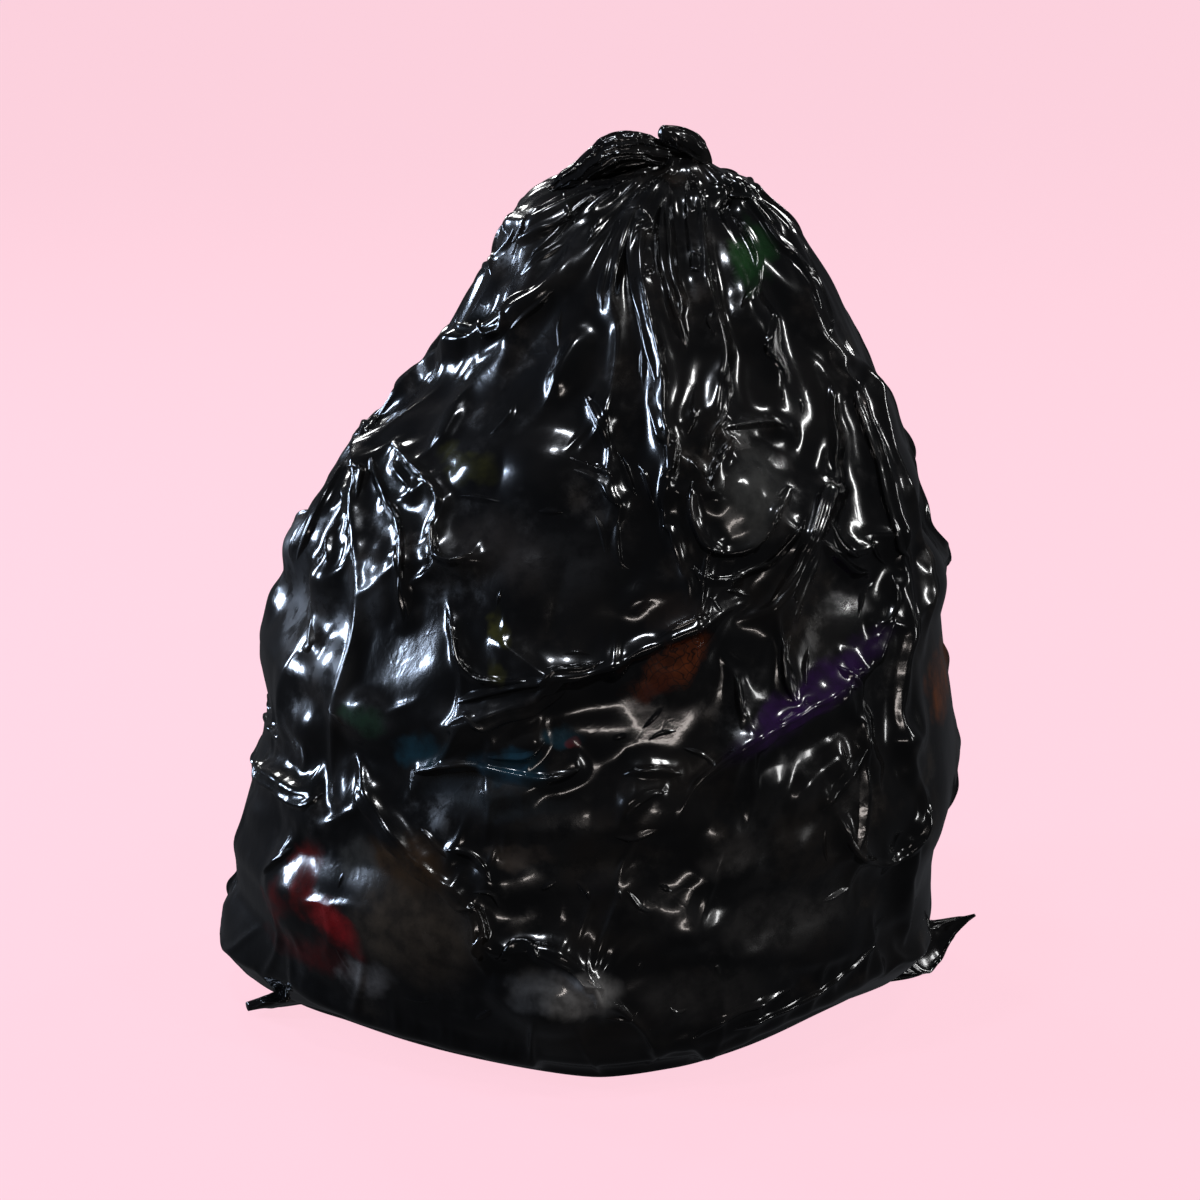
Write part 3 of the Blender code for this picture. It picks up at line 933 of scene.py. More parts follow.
def looseFilm(base, surface, push, held, s):
    # the film before it is let go: pushed out, and pleated more and more towards the neck
    turns = surface.turns
    fade = ramp(base[:, :1, 2], s["pleatsFrom"] * mm, s["pleatsOver"] * mm) ** 1.3
    drift = 0.9 * np.sin(2 * turns + 0.6) + 0.5 * np.sin(3 * turns + 2.1) + 0.35 * np.sin(5 * turns + 4)
    pleat = np.abs(np.cos((s["pleats"] * turns + 2 * drift) / 2)) - 0.6
    pleat = pleat * (1 - 0.95 * onFront(turns))  # the front is gathered by its folds
    quiver = np.random.default_rng(s["seed"]).normal(0, s["quiver"] * mm, base.shape[:2])
    start = push - s["startInset"] * mm + quiver + held * s["startHeld"]
    start = start + surface.reach * s["pleatDepth"] * fade * pleat
    p = base + gridNormals(base) * start[..., None]
    p[:1] = base[:1]
    p[-2:] = base[-2:]
    return p


def filmStretch(z, turns, spare, s):
    # how much longer the film is than the form under it, around and upwards
    slack = ramp(z, s["gatheredFrom"] * mm, s["gatheredOver"] * mm)
    extra = s["extraAtFirst"] if spare is None else s["extraAround"]
    gathered = slack * (1 - (1 - s["frontGathered"]) * onFront(turns))
    extra = extra + (s["extraNearNeck"] - extra) * gathered
    if spare is not None:
        extra = extra * (s["spareLeast"] + (s["spareMost"] - s["spareLeast"]) * spare)
    share = s["uprightShare"] * (1 - slack) + s["uprightShareNeck"] * slack
    return 1 + extra, 1 + np.minimum(extra, s["uprightMost"]) * share


def filmLimits(z, turns, under, seeded, s):
    # how far off the form the film may lie at each point
    side = ramp(np.abs(np.cos(turns)), s["sidesFrom"], s["sidesOver"])
    tight = ramp(z, s["tightFrom"] * mm, s["tightOver"] * mm)
    inset = s["inset"] * mm * (1 - (1 - s["insetSides"]) * side) * (1 - (1 - s["insetTight"]) * tight)
    low = under - inset + s["neckLift"] * mm * ramp(z, s["tightFrom"] * mm, s["neckLiftOver"] * mm)
    low = low + (inset + seeded) * s["foldHold"] * ramp(seeded, 0, s["foldFull"] * mm)
    high = under + s["proud"] * mm * (1 - (1 - s["proudTight"]) * tight)
    high = high + s["foldRoom"] * np.maximum(seeded, 0)
    high = np.where(seeded < 0, under + seeded * s["valleyDepth"], high)
    low = np.minimum(low, high - s["thinnest"] * mm)
    foot = ramp(z, 0, s["footHeight"] * mm)
    high = high * foot + s["endStep"] * mm * (1 - foot)
    low = np.minimum(low, high)
    top = ramp(z, sack["top"] * mm, -s["footHeight"] * mm)
    low = low * top - s["endInset"] * mm * (1 - top)
    return low, high * top + s["endStep"] * mm * (1 - top)


def calmFilm(p, base, s):
    crowded = ramp(base[1:-2, :, 2:], s["crowdedFrom"] * mm, s["crowdedOver"] * mm)
    for turn in range(s["smoothing"]):
        share = 0.5 if turn < s["smoothingAll"] else 0.5 * crowded
        around = (np.roll(p, 1, 1) + np.roll(p, -1, 1)) / 2
        p[1:-2] += share * (around[1:-2] - p[1:-2])
        if turn < s["smoothingUp"]:
            p[1:-2] += share * ((p[2:-1] + p[:-3]) / 2 - p[1:-2])
    return p


def drapeFilm(s):
    base = sampleFrame(sack)
    surface = Surface(base)
    routes = foldRoutes(surface, farSide)
    spare = None
    for level, steps in enumerate(s["steps"]):
        if level:
            base, p = finer(base), finer(p)
        turns, z = ringTurns(base.shape[1]), base[..., 2]
        normal = gridNormals(base)
        push = litterPush(base, surface, litter)
        held = tent(base, normal, surface, folds["taut"], s) + neckPleats(turns, z, s)
        if level == 0:
            p = looseFilm(base, surface, push, held, s)
            seeded = np.zeros(z.shape)
        elif level == 1:
            swells = [(line, stands * s["swellShare"], width * s["swellWidth"]) if rolled
                      else (line, stands, width) for line, stands, width, rolled in routes
                      if len(line) > s["shortest"]]
            seeded = foldField(base, swells, s)
            spare = spread(ramp(np.abs(seeded), 0, s["foldFull"] * mm), s["spareSpread"])
            spare = np.clip(spare * s["spareGain"], 0, 1)
            p[1:-2] += (gridNormals(p) * seeded[..., None])[1:-2]
        else:
            seeded, spare = finer(seeded), finer(spare)
        rest = filmLengths(base, *filmStretch(z, turns, spare, s))
        low, high = filmLimits(z, turns, np.maximum(push, held), seeded, s)
        press = s["press"] * mm / 2 ** level
        p = relax(p, base, normal, low, high, rest, steps, s["bend"][level], press).astype(float)
        print("film draped on", p.shape[0], "rows")
    return calmFilm(p, base, s), surface, routes


def offFloor(points):
    # film lies on the floor, never under it
    points[..., 2] = np.maximum(points[..., 2], cloth["lowest"] * mm)
    return points.astype(np.float32).ravel()


def tubeMesh(name, points):
    # a tube through rings of points, closed at both ends
    rows, columns = points.shape[:2]
    bm = bmesh.new()
    bmesh.ops.create_grid(bm, x_segments=columns, y_segments=rows - 1, size=1)
    me = bpy.data.meshes.new(name)
    bm.to_mesh(me)
    bm.free()
    closed = np.concatenate([points, points[:, :1]], 1)  # the grid's last column meets its first
    me.vertices.foreach_set("co", offFloor(closed))
    bm = bmesh.new()
    bm.from_mesh(me)
    bmesh.ops.remove_doubles(bm, verts=bm.verts[:], dist=1e-6)
    rims = [edge for edge in bm.edges if edge.is_boundary]
    caps = bmesh.ops.holes_fill(bm, edges=rims, sides=0)["faces"]
    bmesh.ops.inset_region(bm, faces=caps, thickness=1 * mm)
    bmesh.ops.poke(bm, faces=caps)
    bmesh.ops.recalc_face_normals(bm, faces=bm.faces[:])
    for face in bm.faces:
        face.smooth = True
    bm.to_mesh(me)
    bm.free()
    return addPiece(name, me)


def stripMesh(name, strips):
    bm = bmesh.new()
    for strip in strips:
        bmesh.ops.create_grid(bm, x_segments=strip.shape[1] - 1, y_segments=strip.shape[0] - 1, size=1)
    for face in bm.faces:
        face.smooth = True
    me = bpy.data.meshes.new(name)
    bm.to_mesh(me)
    bm.free()
    points = np.concatenate([strip.reshape(-1, 3) for strip in strips])
    me.vertices.foreach_set("co", offFloor(points))
    return addPiece(name, me)


# Spare film pinched into rolls: each is a narrow grid along its fold that rises out of the film.
rolls = {
    "seed": 4,
    "step": 1.2,  # between the points along a roll
    "fewest": 8,  # points along a roll
    "thinnedFrom": 9,  # a line of more points than this is drawn through every third only
    "thinnedBy": 3,
    "calming": 4,  # rounds that smooth a roll's line and the way off the film
    "calmingLaid": 3,  # and the strip laid on the film
    "across": 7,  # points on each side of its crest
    "stands": 3.2,
    "half": 6.4,
    "sizes": (0.7, 1.15),
    "sink": 0.3,  # how far its edges go into the film
    "lean": 0.5,  # how far a crest leans over, as a share of how far it stands
    "leans": (0.3, 1),  # the share of that lean that a roll has
    "taper": 20,
    "taperMost": 0.45,  # a share of the roll's length
    "waves": (20, 50),  # how long its swells are
    "waveHeight": 0.12,
    "fullHeightFrom": 55,  # a shorter roll is lower and slimmer
    "leastHeight": 0.3,
    "fullWidthFrom": 45,
    "leastWidth": 0.55,
    "endWidth": 0.3,
    "finest": 0.55,  # how slim the rolls are where they crowd at the neck
    "neckMiddle": 40,  # the neck's x
    "crowdedWithin": 10,
    "crowdedOver": 60,
    "crest": 5,  # how narrow the crest is against the foot
}


def calmNormals(p, rounds):
    away = gridNormals(p)
    for _ in range(rounds):
        away = unit(away + np.roll(away, 1, 1) + np.roll(away, -1, 1))
        away[1:-1] = unit(away[1:-1] + away[2:] + away[:-2])
    return away


def filmTree(p):
    columns = p.shape[1]
    corner = np.arange(p.shape[0] - 1)[:, None] * columns + np.arange(columns)
    nextCorner = np.roll(corner, -1, 1)
    quads = np.stack([corner, nextCorner, nextCorner + columns, corner + columns], -1).reshape(-1, 4)
    return BVHTree.FromPolygons(p.reshape(-1, 3).tolist(), quads.tolist())


def layOnFilm(line, tree, away, rounds):
    # the line's points moved onto the film, and the way off the film at each
    columns = away.shape[1]
    hits = [tree.find_nearest(Vector(point)) for point in line]
    middle = np.array([hit[0] for hit in hits])
    off = np.array([away[hit[2] // columns, hit[2] % columns] for hit in hits])
    for _ in range(rounds):
        middle[1:-1] = (middle[2:] + 2 * middle[1:-1] + middle[:-2]) / 4
        off[1:-1] = off[2:] + off[1:-1] + off[:-2]
        off = unit(off)
    return middle, off


def rollStrip(route, tree, away, size, lean, wave, phase, s):
    if len(route) > s["thinnedFrom"]:
        route = route[::s["thinnedBy"]]
    line = throughPoints(route, s["step"] * mm)
    length = distances(line)[-1]
    line, even = evenly(line, max(s["fewest"], int(length / s["step"] / mm)))
    middle, off = layOnFilm(line, tree, away, s["calming"])
    side = unit(np.cross(unit(np.gradient(middle, axis=0)), off))
    taper = min(s["taper"] * mm, s["taperMost"] * length)
    ends = easeIn(np.minimum(even, length - even) / taper)
    fromNeck = np.hypot(middle[:, 0] - s["neckMiddle"] * mm, middle[:, 1])
    slim = s["finest"] + (1 - s["finest"]) * ramp(fromNeck, s["crowdedWithin"] * mm, s["crowdedOver"] * mm)
    swell = 1 + s["waveHeight"] * np.sin(even / wave * tau + phase)
    swell = swell * np.clip(length / (s["fullHeightFrom"] * mm), s["leastHeight"], 1)
    half = s["half"] * mm * size * slim * (s["endWidth"] + (1 - s["endWidth"]) * ends)
    half = half * np.clip(length / (s["fullWidthFrom"] * mm), s["leastWidth"], 1)
    tall = s["stands"] * mm * size * slim * ends * swell
    u = np.linspace(-1, 1, 2 * s["across"] + 1)
    wanted = middle[:, None] + side[:, None] * (half[:, None] * u)[..., None]
    laid = np.array([[tree.find_nearest(Vector(point))[0] for point in row] for row in wanted])
    for _ in range(s["calmingLaid"]):
        laid[1:-1] = (laid[2:] + 2 * laid[1:-1] + laid[:-2]) / 4
    crest = tall[:, None] * (1 - u * u) ** 2 / (1 + s["crest"] * u * u)
    edge = s["sink"] * mm * (np.abs(u) ** 3 + (1 - ends[:, None]))
    return laid + off[:, None] * (crest - edge)[..., None] + side[:, None] * (lean * crest)[..., None]


def rollStrips(p, routes, s):
    tree, away = filmTree(p), calmNormals(p, s["calming"])
    dice = np.random.default_rng(s["seed"])
    strips = []
    for route, _, _, rolled in routes:
        size = dice.uniform(*s["sizes"])
        lean = dice.choice((-1, 1)) * dice.uniform(*s["leans"]) * s["lean"]
        wave, phase = dice.uniform(*s["waves"]) * mm, dice.uniform(0, tau)
        if rolled:
            strips.append(rollStrip(route, tree, away, size, lean, wave, phase, s))
    return strips


# Bunched film: each bunch is a tube of film along a path of x, y, z, half its width and half its
# thickness there.
bunched = {
    "quickSteps": 20,
    "press": 0.005,
    "bend": 0.05,
    "quiver": 0.15,
    "full": 6,  # half the thickness from which the pleats are at their full depth
    "fullLeast": 0.15,  # the share of it that they keep however thin the bunch is
    "endRise": 8,
    "endProud": 0.1,
    "smoothing": 4,
}
knotWrap = {
    "path": ((34.6, -9, 560.5, 1.2, 1.2), (35.6, -9, 560.5, 4, 3.8), (38, -9, 560.5, 6.4, 6),
             (43, -9, 559.5, 7.4, 7), (50, -9, 557, 7.8, 7.2), (56, -8, 553, 8, 7.4),
             (61, -5, 547, 7.8, 7.2), (63, 0, 540, 7.2, 6.8), (60, 6, 534, 7, 6),
             (52, 9, 531, 7, 6), (44, 8, 533, 6, 6)),
    "wideAlong": (0.3, 0, 0.9),
    "rows": 96,
    "columns": 64,
    "pleats": 3,
    "pleatDepth": 0.7,
    "twist": 1.3,
    "extra": (0.06, 0.02),
    "sink": 1.6,
    "proud": 1.2,
    "steps": 160,
    "seed": 1,
}
tail = {
    "path": ((62, 4, 539, 9, 9), (48, 0, 544, 10, 10), (34, -4, 548, 12, 11), (22, -6, 550, 14, 13),
             (8, -7, 549, 15, 13), (-4, -8, 542.5, 15, 12), (-14, -8, 535.5, 14, 10), (-25, -8, 530, 12, 8),
             (-33, -8, 524.5, 9, 5), (-39, -8, 520, 4, 2.5)),
    "wideAlong": (0, 1, 0.25),
    "rows": 140,
    "columns": 112,
    "pleats": 7,
    "pleatDepth": 3.4,
    "twist": 0.5,
    "extra": (0.2, 0.03),
    "sink": 4.0,
    "proud": 1.5,
    "steps": 160,
    "seed": 2,
}
rightCorner = {
    "path": ((176, -8, 15, 24, 12), (192, -4, 15.5, 24, 9), (205, 1, 17, 22, 6.5), (214, 5, 19, 18, 5),
             (222, 9, 22, 13, 4), (232, 12, 27, 7, 2.8), (241, 14, 31, 3.2, 1.6), (248, 15, 34, 1, 0.8)),
    "wideAlong": (0.25, 0.62, 0.75),
    "rows": 84,
    "columns": 80,
    "pleats": 4,
    "pleatDepth": 1.6,
    "twist": 0.2,
    "extra": (0.03, 0.03),
    "sink": 2.4,
    "proud": 2.2,
    "steps": 160,
    "seed": 3,
}
leftCorner = {
    "path": ((-172, -60, 10, 17, 8), (-190, -66, 9.5, 17, 7.5), (-205, -72, 9, 16, 7), (-215, -77, 8, 13, 6),
             (-223, -80, 7, 9, 4.6), (-229, -82, 6, 4, 3)),
    "wideAlong": (0.35, -0.75, 0.3),
    "rows": 64,
    "columns": 64,
    "pleats": 4,
    "pleatDepth": 1.4,
    "twist": 0.4,
    "extra": (0.04, 0.04),
    "sink": 1.8,
    "proud": 1.8,
    "steps": 140,
    "seed": 4,
}


def bunchFilm(s, shared):
    path = np.array(s["path"], float) * mm
    path, _ = evenly(throughPoints(path, 1 * mm), s["rows"])
    centre, halfWidth, halfThickness = path[:, :3], path[:, 3, None], path[:, 4, None]
    run = unit(np.gradient(centre, axis=0))
    wide = np.array(s["wideAlong"], float)
    wide = unit(wide - (run @ wide)[:, None] * run)
    thick = np.cross(run, wide)
    angle = np.arange(s["columns"]) * tau / s["columns"]
    base = centre[:, None] + wide[:, None] * (halfWidth * np.cos(angle))[..., None]
    base += thick[:, None] * (halfThickness * np.sin(angle))[..., None]
    normal = gridNormals(base)
    if ((base - centre[:, None]) * normal).sum() < 0:
        base, normal = base[:, ::-1].copy(), -normal[:, ::-1]
    dice = np.random.default_rng(s["seed"])
    share = np.linspace(0, 1, s["rows"])[:, None]
    phase = s["pleats"] * angle + s["twist"] * share * tau + dice.uniform(0, tau)
    phase = phase + 0.8 * np.sin(2 * angle + dice.uniform(0, tau) + 3 * share)
    phase = phase + 0.5 * np.sin(3 * angle + dice.uniform(0, tau) - 5 * share)
    ends = easeIn(np.minimum(share, 1 - share) * shared["endRise"])
    fold = (1 - 2 * np.abs(np.sin(phase / 2))) * s["pleatDepth"] * mm * ends
    fold = fold + dice.normal(0, shared["quiver"] * mm, fold.shape)
    thin = np.clip(halfThickness / (shared["full"] * mm), shared["fullLeast"], 1)
    extraAround, extraUp = s["extra"]
    rest = filmLengths(base, np.full(fold.shape, 1 + extraAround), np.full(fold.shape, 1 + extraUp))
    low, high = -s["sink"] * mm * thin * ends, s["proud"] * mm * ends + shared["endProud"] * mm
    p = relax(base + normal * (fold * thin)[..., None], base, normal, low, high, rest,
              s["steps"], shared["bend"], shared["press"] * mm)
    for _ in range(shared["smoothing"]):
        p[1:-1] += 0.5 * ((p[2:] + p[:-2]) / 2 - p[1:-1])
        p += 0.25 * ((np.roll(p, 1, 1) + np.roll(p, -1, 1)) / 2 - p)
    return p


draped, surface, routes = drapeFilm(film)
filmPiece = tubeMesh("filmSack", draped)
print("film made:", len(filmPiece.data.polygons), "faces")
strips = rollStrips(draped, routes, rolls)
frontRolls = stripMesh("frontRolls", [strip for strip in strips if strip[..., 1].mean() < 0])
backRolls = stripMesh("backRolls", [strip for strip in strips if strip[..., 1].mean() >= 0])
print("rolls made:", len(frontRolls.data.polygons), "and", len(backRolls.data.polygons), "faces")

polythene = {
    "black": "0b0b0c",
    "wornAndSheen": "2b2a2a",  # the grey of dust and scuffs and of litter behind thin film, and a painted sheen where the greasy patches raise it
    "wornBrown": "2c2621",
    "thin": "1b1918",
    "thinMost": 0.6,
    # how large each pattern is, its detail and its roughness
    "patterns": {
        "cloud": (42, 3, 0.55),
        "smear": (15, 4, 0.6),
        "grain": (1.6, 3, 0.6),  # dust and fine scuffs, drawn coarser than the real ones to show
        "browned": (60, 2, 0.5),
        "thinned": (64, 3, 0.6),
        "swirl": (30, 3, 0.6),
        "sway": (24, 2, 0.5),
        "crinkled": (34, 2, 0.5),
        "pebbled": (48, 2, 0.5),
        "pebbles": (1.3, 2, 0.5),
    },
    "streaks": (5, 2, 0.5),
    "streakSlant": 0.16,  # how drawn out the streaks are upwards
    "crinkleSize": 11,
    "swirlReach": 30,  # how far the edges of what shows through wander
    "swayReach": 20,
    "ior": 1.5,
    "gloss": 0.4,
    "coat": 0.5,
    "coatRoughness": 0.05,
    "smooth": 0.16,  # roughness of clean film
    "roughest": 0.42,  # and of the most worn
    "roughestBunched": 0.24,
    # how high each kind of relief stands
    "relief": {"ridged": 0.03, "smear": 0.06, "cloud": 0.5, "pebbled": 0.02, "streaked": 0.12, "grain": 0.02},
    # greasy patches that scatter the light, also painted lighter grey as a painted sheen that stands in for
    # soft grey reflections: x, height, half width, half height, amount
    "greaseAndPaintedSheen": (
        (-198, 285, 12, 46, 0.8), (-172, 255, 18, 36, 0.7), (-152, 224, 24, 16, 0.7),
        (-146, 296, 14, 26, 0.6), (-40, 500, 30, 26, 0.4), (-20, 158, 46, 26, 0.6),
        (-76, 190, 40, 18, 0.5), (60, 200, 30, 14, 0.4), (120, 112, 46, 34, 0.55),
        (24, 112, 56, 20, 0.4), (-30, 325, 40, 20, 0.35), (112, 165, 36, 24, 0.45),
        (-70, 232, 40, 14, 0.45), (90, 300, 30, 20, 0.3), (-20, 40, 60, 18, 0.4),
    ),
    # coloured litter that shows faintly through the film on the front, and one painted highlight on the low
    # dome: x, height, half width, half height, how far it is turned in degrees, colour, strength, and net
    # lines if it is a net
    "litterAndHighlight": (
        (92, 492, 13, 17, 0, "1f5a26", 0.5),
        (-83, 374, 18, 8, 0, "5c5a22", 0.25),
        (-63, 288, 6, 9, 0, "5c5a22", 0.35),
        (-63, 264, 6, 6, 0, "504e20", 0.3),
        (39, 267, 28, 12, 34, "85401c", 0.95, 6),
        (30, 255, 16, 8, 34, "54200f", 0.8),
        (128, 240, 56, 13, 30, "321648", 1.0),
        (-112, 207, 16, 12, 0, "1c4450", 0.6),
        (-56, 206, 22, 10, 0, "1f4a5c", 0.6),
        (-24, 224, 12, 8, 0, "1f4e60", 0.7),
        (-17, 220, 4, 4, 0, "8a2020", 0.5),
        (-147, 222, 14, 10, 0, "1e4a2c", 0.5),
        (-170, 92, 24, 12, -35, "8a1418", 0.95),
        (-186, 116, 9, 22, -10, "701612", 0.7),
        (-205, 92, 10, 16, 0, "5a1010", 0.7),
        (-184, 66, 26, 12, 0, "4c0d0d", 0.7),
        (-148, 62, 16, 14, 0, "8a8480", 0.6),
        (-113, 100, 42, 36, 0, "463c32", 0.95),
        (-120, 140, 26, 16, 0, "46321f", 0.7),
        (-150, 132, 14, 18, 0, "4a4844", 0.6),
        # a painted highlight: the soft white glow on the low dome, painted as light grey
        (-14, 68, 24, 16, 0, "b4b2b0", 0.75),
        (-44, 72, 18, 14, 0, "6a6866", 0.5),
        (60, 60, 40, 20, 0, "3c3a39", 0.7),
        (110, 100, 40, 20, 0, "3c3a39", 0.6),
        (-60, 330, 30, 22, 0, "2e2a28", 0.7),
        (-70, 185, 46, 12, 0, "2c3236", 0.7),
        (-50, 152, 22, 7, 0, "544a42", 0.8),
        (220, 215, 14, 22, 0, "6a3818", 0.9),
        (40, 300, 20, 12, 0, "2c2420", 0.6),
        (89, 360, 22, 26, 0, "4a4a48", 0.8),
        (78, 150, 20, 12, 0, "454240", 0.6),
    ),
}


# node settings that come up again and again
fractal = {"noise_type": "FBM", "normalize": True}
smooth = {"interpolation_type": "SMOOTHSTEP"}
multiply = {"operation": "MULTIPLY"}
multiplyAdd = {"operation": "MULTIPLY_ADD"}
colours = {"data_type": "RGBA"}  # such a mix takes its factor at 0, its colours at 6 and 7, and gives at 2
intoPatch = {"vector_type": "TEXTURE"}  # takes a place into a patch's own measure


def filmPatterns(tree, place, p):
    noise = {}
    for name, (size, detail, rough) in p["patterns"].items():
        values = {"Vector": place, "Scale": 1 / (size * mm), "Detail": detail, "Roughness": rough}
        kept = "Color" if name in ("swirl", "sway") else "Fac"
        noise[name] = addNode(tree, "ShaderNodeTexNoise", fractal, values, kept)
    return noise


def filmWear(tree, noise):
    # clouds of wear, broken up by smears and grain
    cloudy = addNode(tree, "ShaderNodeMapRange", smooth,
                     {"Value": noise["cloud"], "From Min": 0.47, "From Max": 0.72})
    smeared = addNode(tree, "ShaderNodeMapRange", smooth,
                      {"Value": noise["smear"], "From Min": 0.36, "From Max": 0.66})
    grained = addNode(tree, "ShaderNodeMapRange", smooth,
                      {"Value": noise["grain"], "From Min": 0.25, "From Max": 0.75, "To Min": 0.7})
    wornAndSheen = addNode(tree, "ShaderNodeMath", multiply, {0: cloudy, 1: smeared})
    return addNode(tree, "ShaderNodeMath", multiply, {0: wornAndSheen, 1: grained})


# greasy patches: rougher film, with a painted sheen where they turn the base colour grey
def greaseAndSheenPatches(tree, wornAndSheen, flat, y, noise, p):
    broken = addNode(tree, "ShaderNodeMapRange", smooth,
                     {"Value": noise["smear"], "From Min": 0.3, "From Max": 0.6, "To Min": 0.2})
    front = addNode(tree, "ShaderNodeMapRange", smooth, {"Value": y, "From Min": 0.03, "From Max": 0})
    broken = addNode(tree, "ShaderNodeMath", multiply, {0: broken, 1: front})
    for x, z, width, height, amount in p["greaseAndPaintedSheen"]:
        patch = addNode(tree, "ShaderNodeMapping", intoPatch,
                        {0: flat, "Location": (x * mm, 0, z * mm), "Scale": (width * mm, 1, height * mm)})
        away = addNode(tree, "ShaderNodeVectorMath", {"operation": "DOT_PRODUCT"},
                       {0: patch, 1: patch}, "Value")
        spot = addNode(tree, "ShaderNodeMapRange", smooth,
                       {"Value": away, "From Min": 1.6, "From Max": 0.2, "To Max": amount})
        spot = addNode(tree, "ShaderNodeMath", multiply, {0: spot, 1: broken})
        wornAndSheen = addNode(tree, "ShaderNodeMath", {"operation": "MAXIMUM"}, {0: wornAndSheen, 1: spot})
    return wornAndSheen


def netOver(tree, mask, patch, lines, slim):
    # thins a patch's mask along the lines of a net
    squares = addNode(tree, "ShaderNodeVectorMath", multiply, {0: patch, 1: (lines, 0, lines * slim)})
    squares = addNode(tree, "ShaderNodeVectorMath", {"operation": "FRACTION"}, {0: squares})
    squares = addNode(tree, "ShaderNodeVectorMath", {"operation": "SUBTRACT"},
                      {0: squares, 1: (0.5, 0, 0.5)})
    squares = addNode(tree, "ShaderNodeVectorMath", {"operation": "ABSOLUTE"}, {0: squares})
    across, up = (addNode(tree, "ShaderNodeSeparateXYZ", values={0: squares}, output=axis) for axis in "XZ")
    line = addNode(tree, "ShaderNodeMath", {"operation": "MINIMUM"}, {0: across, 1: up})
    line = addNode(tree, "ShaderNodeMapRange", smooth,
                   {"Value": line, "From Min": 0.03, "From Max": 0.1, "To Min": 0.25})
    return addNode(tree, "ShaderNodeMath", multiply, {0: mask, 1: line})


def litterAndPaintedHighlight(tree, colour, flat, y, noise, p):
    # each patch of litter, and the painted highlight on the low dome, has a soft edge that wanders, and
    # smears break it up
    reach = p["swirlReach"] * mm
    red, green = (addNode(tree, "ShaderNodeSeparateXYZ", values={0: noise["swirl"]}, output=axis)
                  for axis in "XY")
    swirl = addNode(tree, "ShaderNodeCombineXYZ", values={"X": red, "Z": green})
    wandering = addNode(tree, "ShaderNodeVectorMath", multiplyAdd, {0: swirl, 1: (reach, 0, reach), 2: flat})
    front = addNode(tree, "ShaderNodeMapRange", smooth, {"Value": y, "From Min": 0, "From Max": -0.02})
    mottled = addNode(tree, "ShaderNodeMapRange", smooth,
                      {"Value": noise["smear"], "From Min": 0.3, "From Max": 0.7, "To Min": 0.35})
    mottled = addNode(tree, "ShaderNodeMath", multiply, {0: mottled, 1: front})
    for x, z, width, height, turned, shade, strength, *netLines in p["litterAndHighlight"]:
        middle = (x * mm + reach / 2, 0, z * mm + reach / 2)
        patch = addNode(tree, "ShaderNodeMapping", intoPatch,
                        {0: wandering, "Location": middle, "Rotation": (0, -radians(turned), 0),
                         "Scale": (width * mm, 1, height * mm)})
        away = addNode(tree, "ShaderNodeVectorMath", {"operation": "LENGTH"}, {0: patch}, "Value")
        mask = addNode(tree, "ShaderNodeMapRange", smooth,
                       {"Value": away, "From Min": 1.25, "From Max": 0.45, "To Max": strength})
        mask = addNode(tree, "ShaderNodeMath", multiply, {0: mask, 1: mottled})
        for lines in netLines:
            mask = netOver(tree, mask, patch, lines, height / width)
        colour = addNode(tree, "ShaderNodeMix", colours, {0: mask, 6: colour, 7: linear(shade)}, 2)
    return colour


def filmColour(tree, wornAndSheen, noise, p):
    brown = addNode(tree, "ShaderNodeMapRange", smooth,
                    {"Value": noise["browned"], "From Min": 0.45, "From Max": 0.6})
    tint = addNode(tree, "ShaderNodeMix", colours,
                   {0: brown, 6: linear(p["wornAndSheen"]), 7: linear(p["wornBrown"])}, 2)
    thin = addNode(tree, "ShaderNodeMapRange", smooth,
                   {"Value": noise["thinned"], "From Min": 0.44, "From Max": 0.68, "To Max": p["thinMost"]})
    colour = addNode(tree, "ShaderNodeMix", colours,
                     {0: thin, 6: linear(p["black"]), 7: linear(p["thin"])}, 2)
    return addNode(tree, "ShaderNodeMix", colours, {0: wornAndSheen, 6: colour, 7: tint}, 2)


def filmRelief(tree, place, x, noise, p):
    # crinkles, smears, pebbling, streaks on the left, and grain, in millimetres
    bent = addNode(tree, "ShaderNodeVectorMath", multiplyAdd,
                   {0: noise["sway"], 1: [p["swayReach"] * mm] * 3, 2: place})
    cells = addNode(tree, "ShaderNodeTexVoronoi", {"feature": "DISTANCE_TO_EDGE"},
                    {"Vector": bent, "Scale": 1 / (p["crinkleSize"] * mm)}, "Distance")
    ridges = addNode(tree, "ShaderNodeMapRange", smooth, {"Value": cells, "From Min": 0.14, "From Max": 0})
    crinkled = addNode(tree, "ShaderNodeMapRange", smooth,
                       {"Value": noise["crinkled"], "From Min": 0.5, "From Max": 0.66})
    ridged = addNode(tree, "ShaderNodeMath", multiply, {0: ridges, 1: crinkled})
    pebbled = addNode(tree, "ShaderNodeMapRange", smooth,
                      {"Value": noise["pebbled"], "From Min": 0.5, "From Max": 0.62})
    pebbled = addNode(tree, "ShaderNodeMath", multiply, {0: pebbled, 1: noise["pebbles"]})
    drawnOut = addNode(tree, "ShaderNodeVectorMath", multiply, {0: bent, 1: (1, 1, p["streakSlant"])})
    size, detail, rough = p["streaks"]
    streaks = addNode(tree, "ShaderNodeTexNoise", fractal,
                      {"Vector": drawnOut, "Scale": 1 / (size * mm), "Detail": detail, "Roughness": rough})
    left = addNode(tree, "ShaderNodeMapRange", smooth, {"Value": x, "From Min": -0.06, "From Max": -0.13})
    streaked = addNode(tree, "ShaderNodeMath", multiply, {0: streaks, 1: left})
    parts = {**noise, "ridged": ridged, "pebbled": pebbled, "streaked": streaked}
    relief = 0
    for part, height in p["relief"].items():
        relief = addNode(tree, "ShaderNodeMath", multiplyAdd, {0: parts[part], 1: height, 2: relief})
    return relief


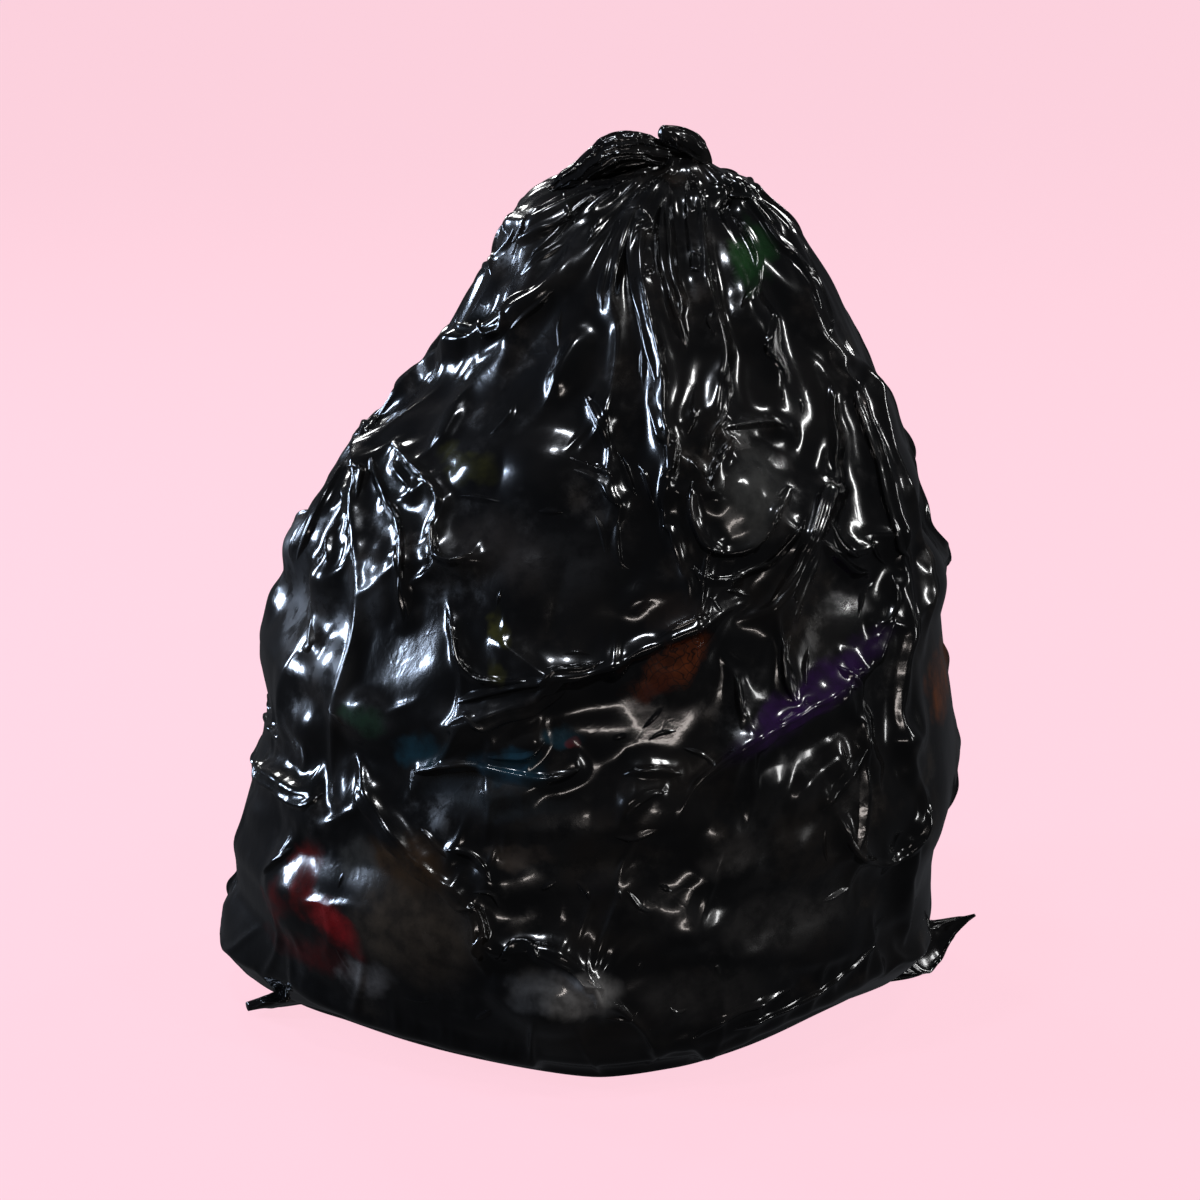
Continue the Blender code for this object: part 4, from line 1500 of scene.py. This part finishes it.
def filmMaterial(name, p, roughest, litterAndSheenShown):
    # Blown low-density polyethylene with carbon black in it: nearly black, with a wet shine that
    # smears and grease break up, and thin enough for litter against it to show through faintly.
    # its grey greasy patches on the front are also a painted sheen, and a light grey patch on the low dome is
    # a painted highlight
    material = bpy.data.materials.new(name)
    material.use_nodes = True
    tree = material.node_tree
    shader = tree.nodes["Principled BSDF"]
    place = addNode(tree, "ShaderNodeTexCoord", output="Object")
    x, y = (addNode(tree, "ShaderNodeSeparateXYZ", values={0: place}, output=axis) for axis in "XY")
    flat = addNode(tree, "ShaderNodeVectorMath", multiply, {0: place, 1: (1, 0, 1)})
    noise = filmPatterns(tree, place, p)
    wornAndSheen = filmWear(tree, noise)
    if litterAndSheenShown:
        wornAndSheen = greaseAndSheenPatches(tree, wornAndSheen, flat, y, noise, p)
    colour = filmColour(tree, wornAndSheen, noise, p)
    if litterAndSheenShown:
        colour = litterAndPaintedHighlight(tree, colour, flat, y, noise, p)
    tree.links.new(colour, shader.inputs["Base Color"])
    rough = addNode(tree, "ShaderNodeMapRange", smooth,
                    {"Value": wornAndSheen, "To Min": p["smooth"], "To Max": roughest})
    tree.links.new(rough, shader.inputs["Roughness"])
    shader.inputs["IOR"].default_value = p["ior"]
    shader.inputs["Specular IOR Level"].default_value = p["gloss"]
    shader.inputs["Coat Weight"].default_value = p["coat"]
    shader.inputs["Coat Roughness"].default_value = p["coatRoughness"]
    shader.inputs["Coat IOR"].default_value = p["ior"]
    relief = filmRelief(tree, place, x, noise, p)
    bump = addNode(tree, "ShaderNodeBump", values={"Strength": 1, "Distance": mm, "Height": relief})
    tree.links.new(bump, shader.inputs["Normal"])
    tree.links.new(bump, shader.inputs["Coat Normal"])
    return material


blownFilm = filmMaterial("blownPolytheneFilm", polythene, polythene["roughest"], True)
bunchedFilm = filmMaterial("bunchedPolytheneFilm", polythene, polythene["roughestBunched"], False)
for piece in (frontRolls, backRolls):
    piece.data.materials.append(blownFilm)
    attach(piece, "root")
for name, settings in (("knotWrap", knotWrap), ("tailBunch", tail), ("rightSeamCorner", rightCorner),
                       ("leftSeamCorner", leftCorner)):
    piece = tubeMesh(name, bunchFilm(settings, bunched))
    piece.data.materials.append(bunchedFilm)
    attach(piece, "root")
    print("made", name)
filmPiece.data.materials.append(blownFilm)
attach(filmPiece, "root")
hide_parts("bin_bag")
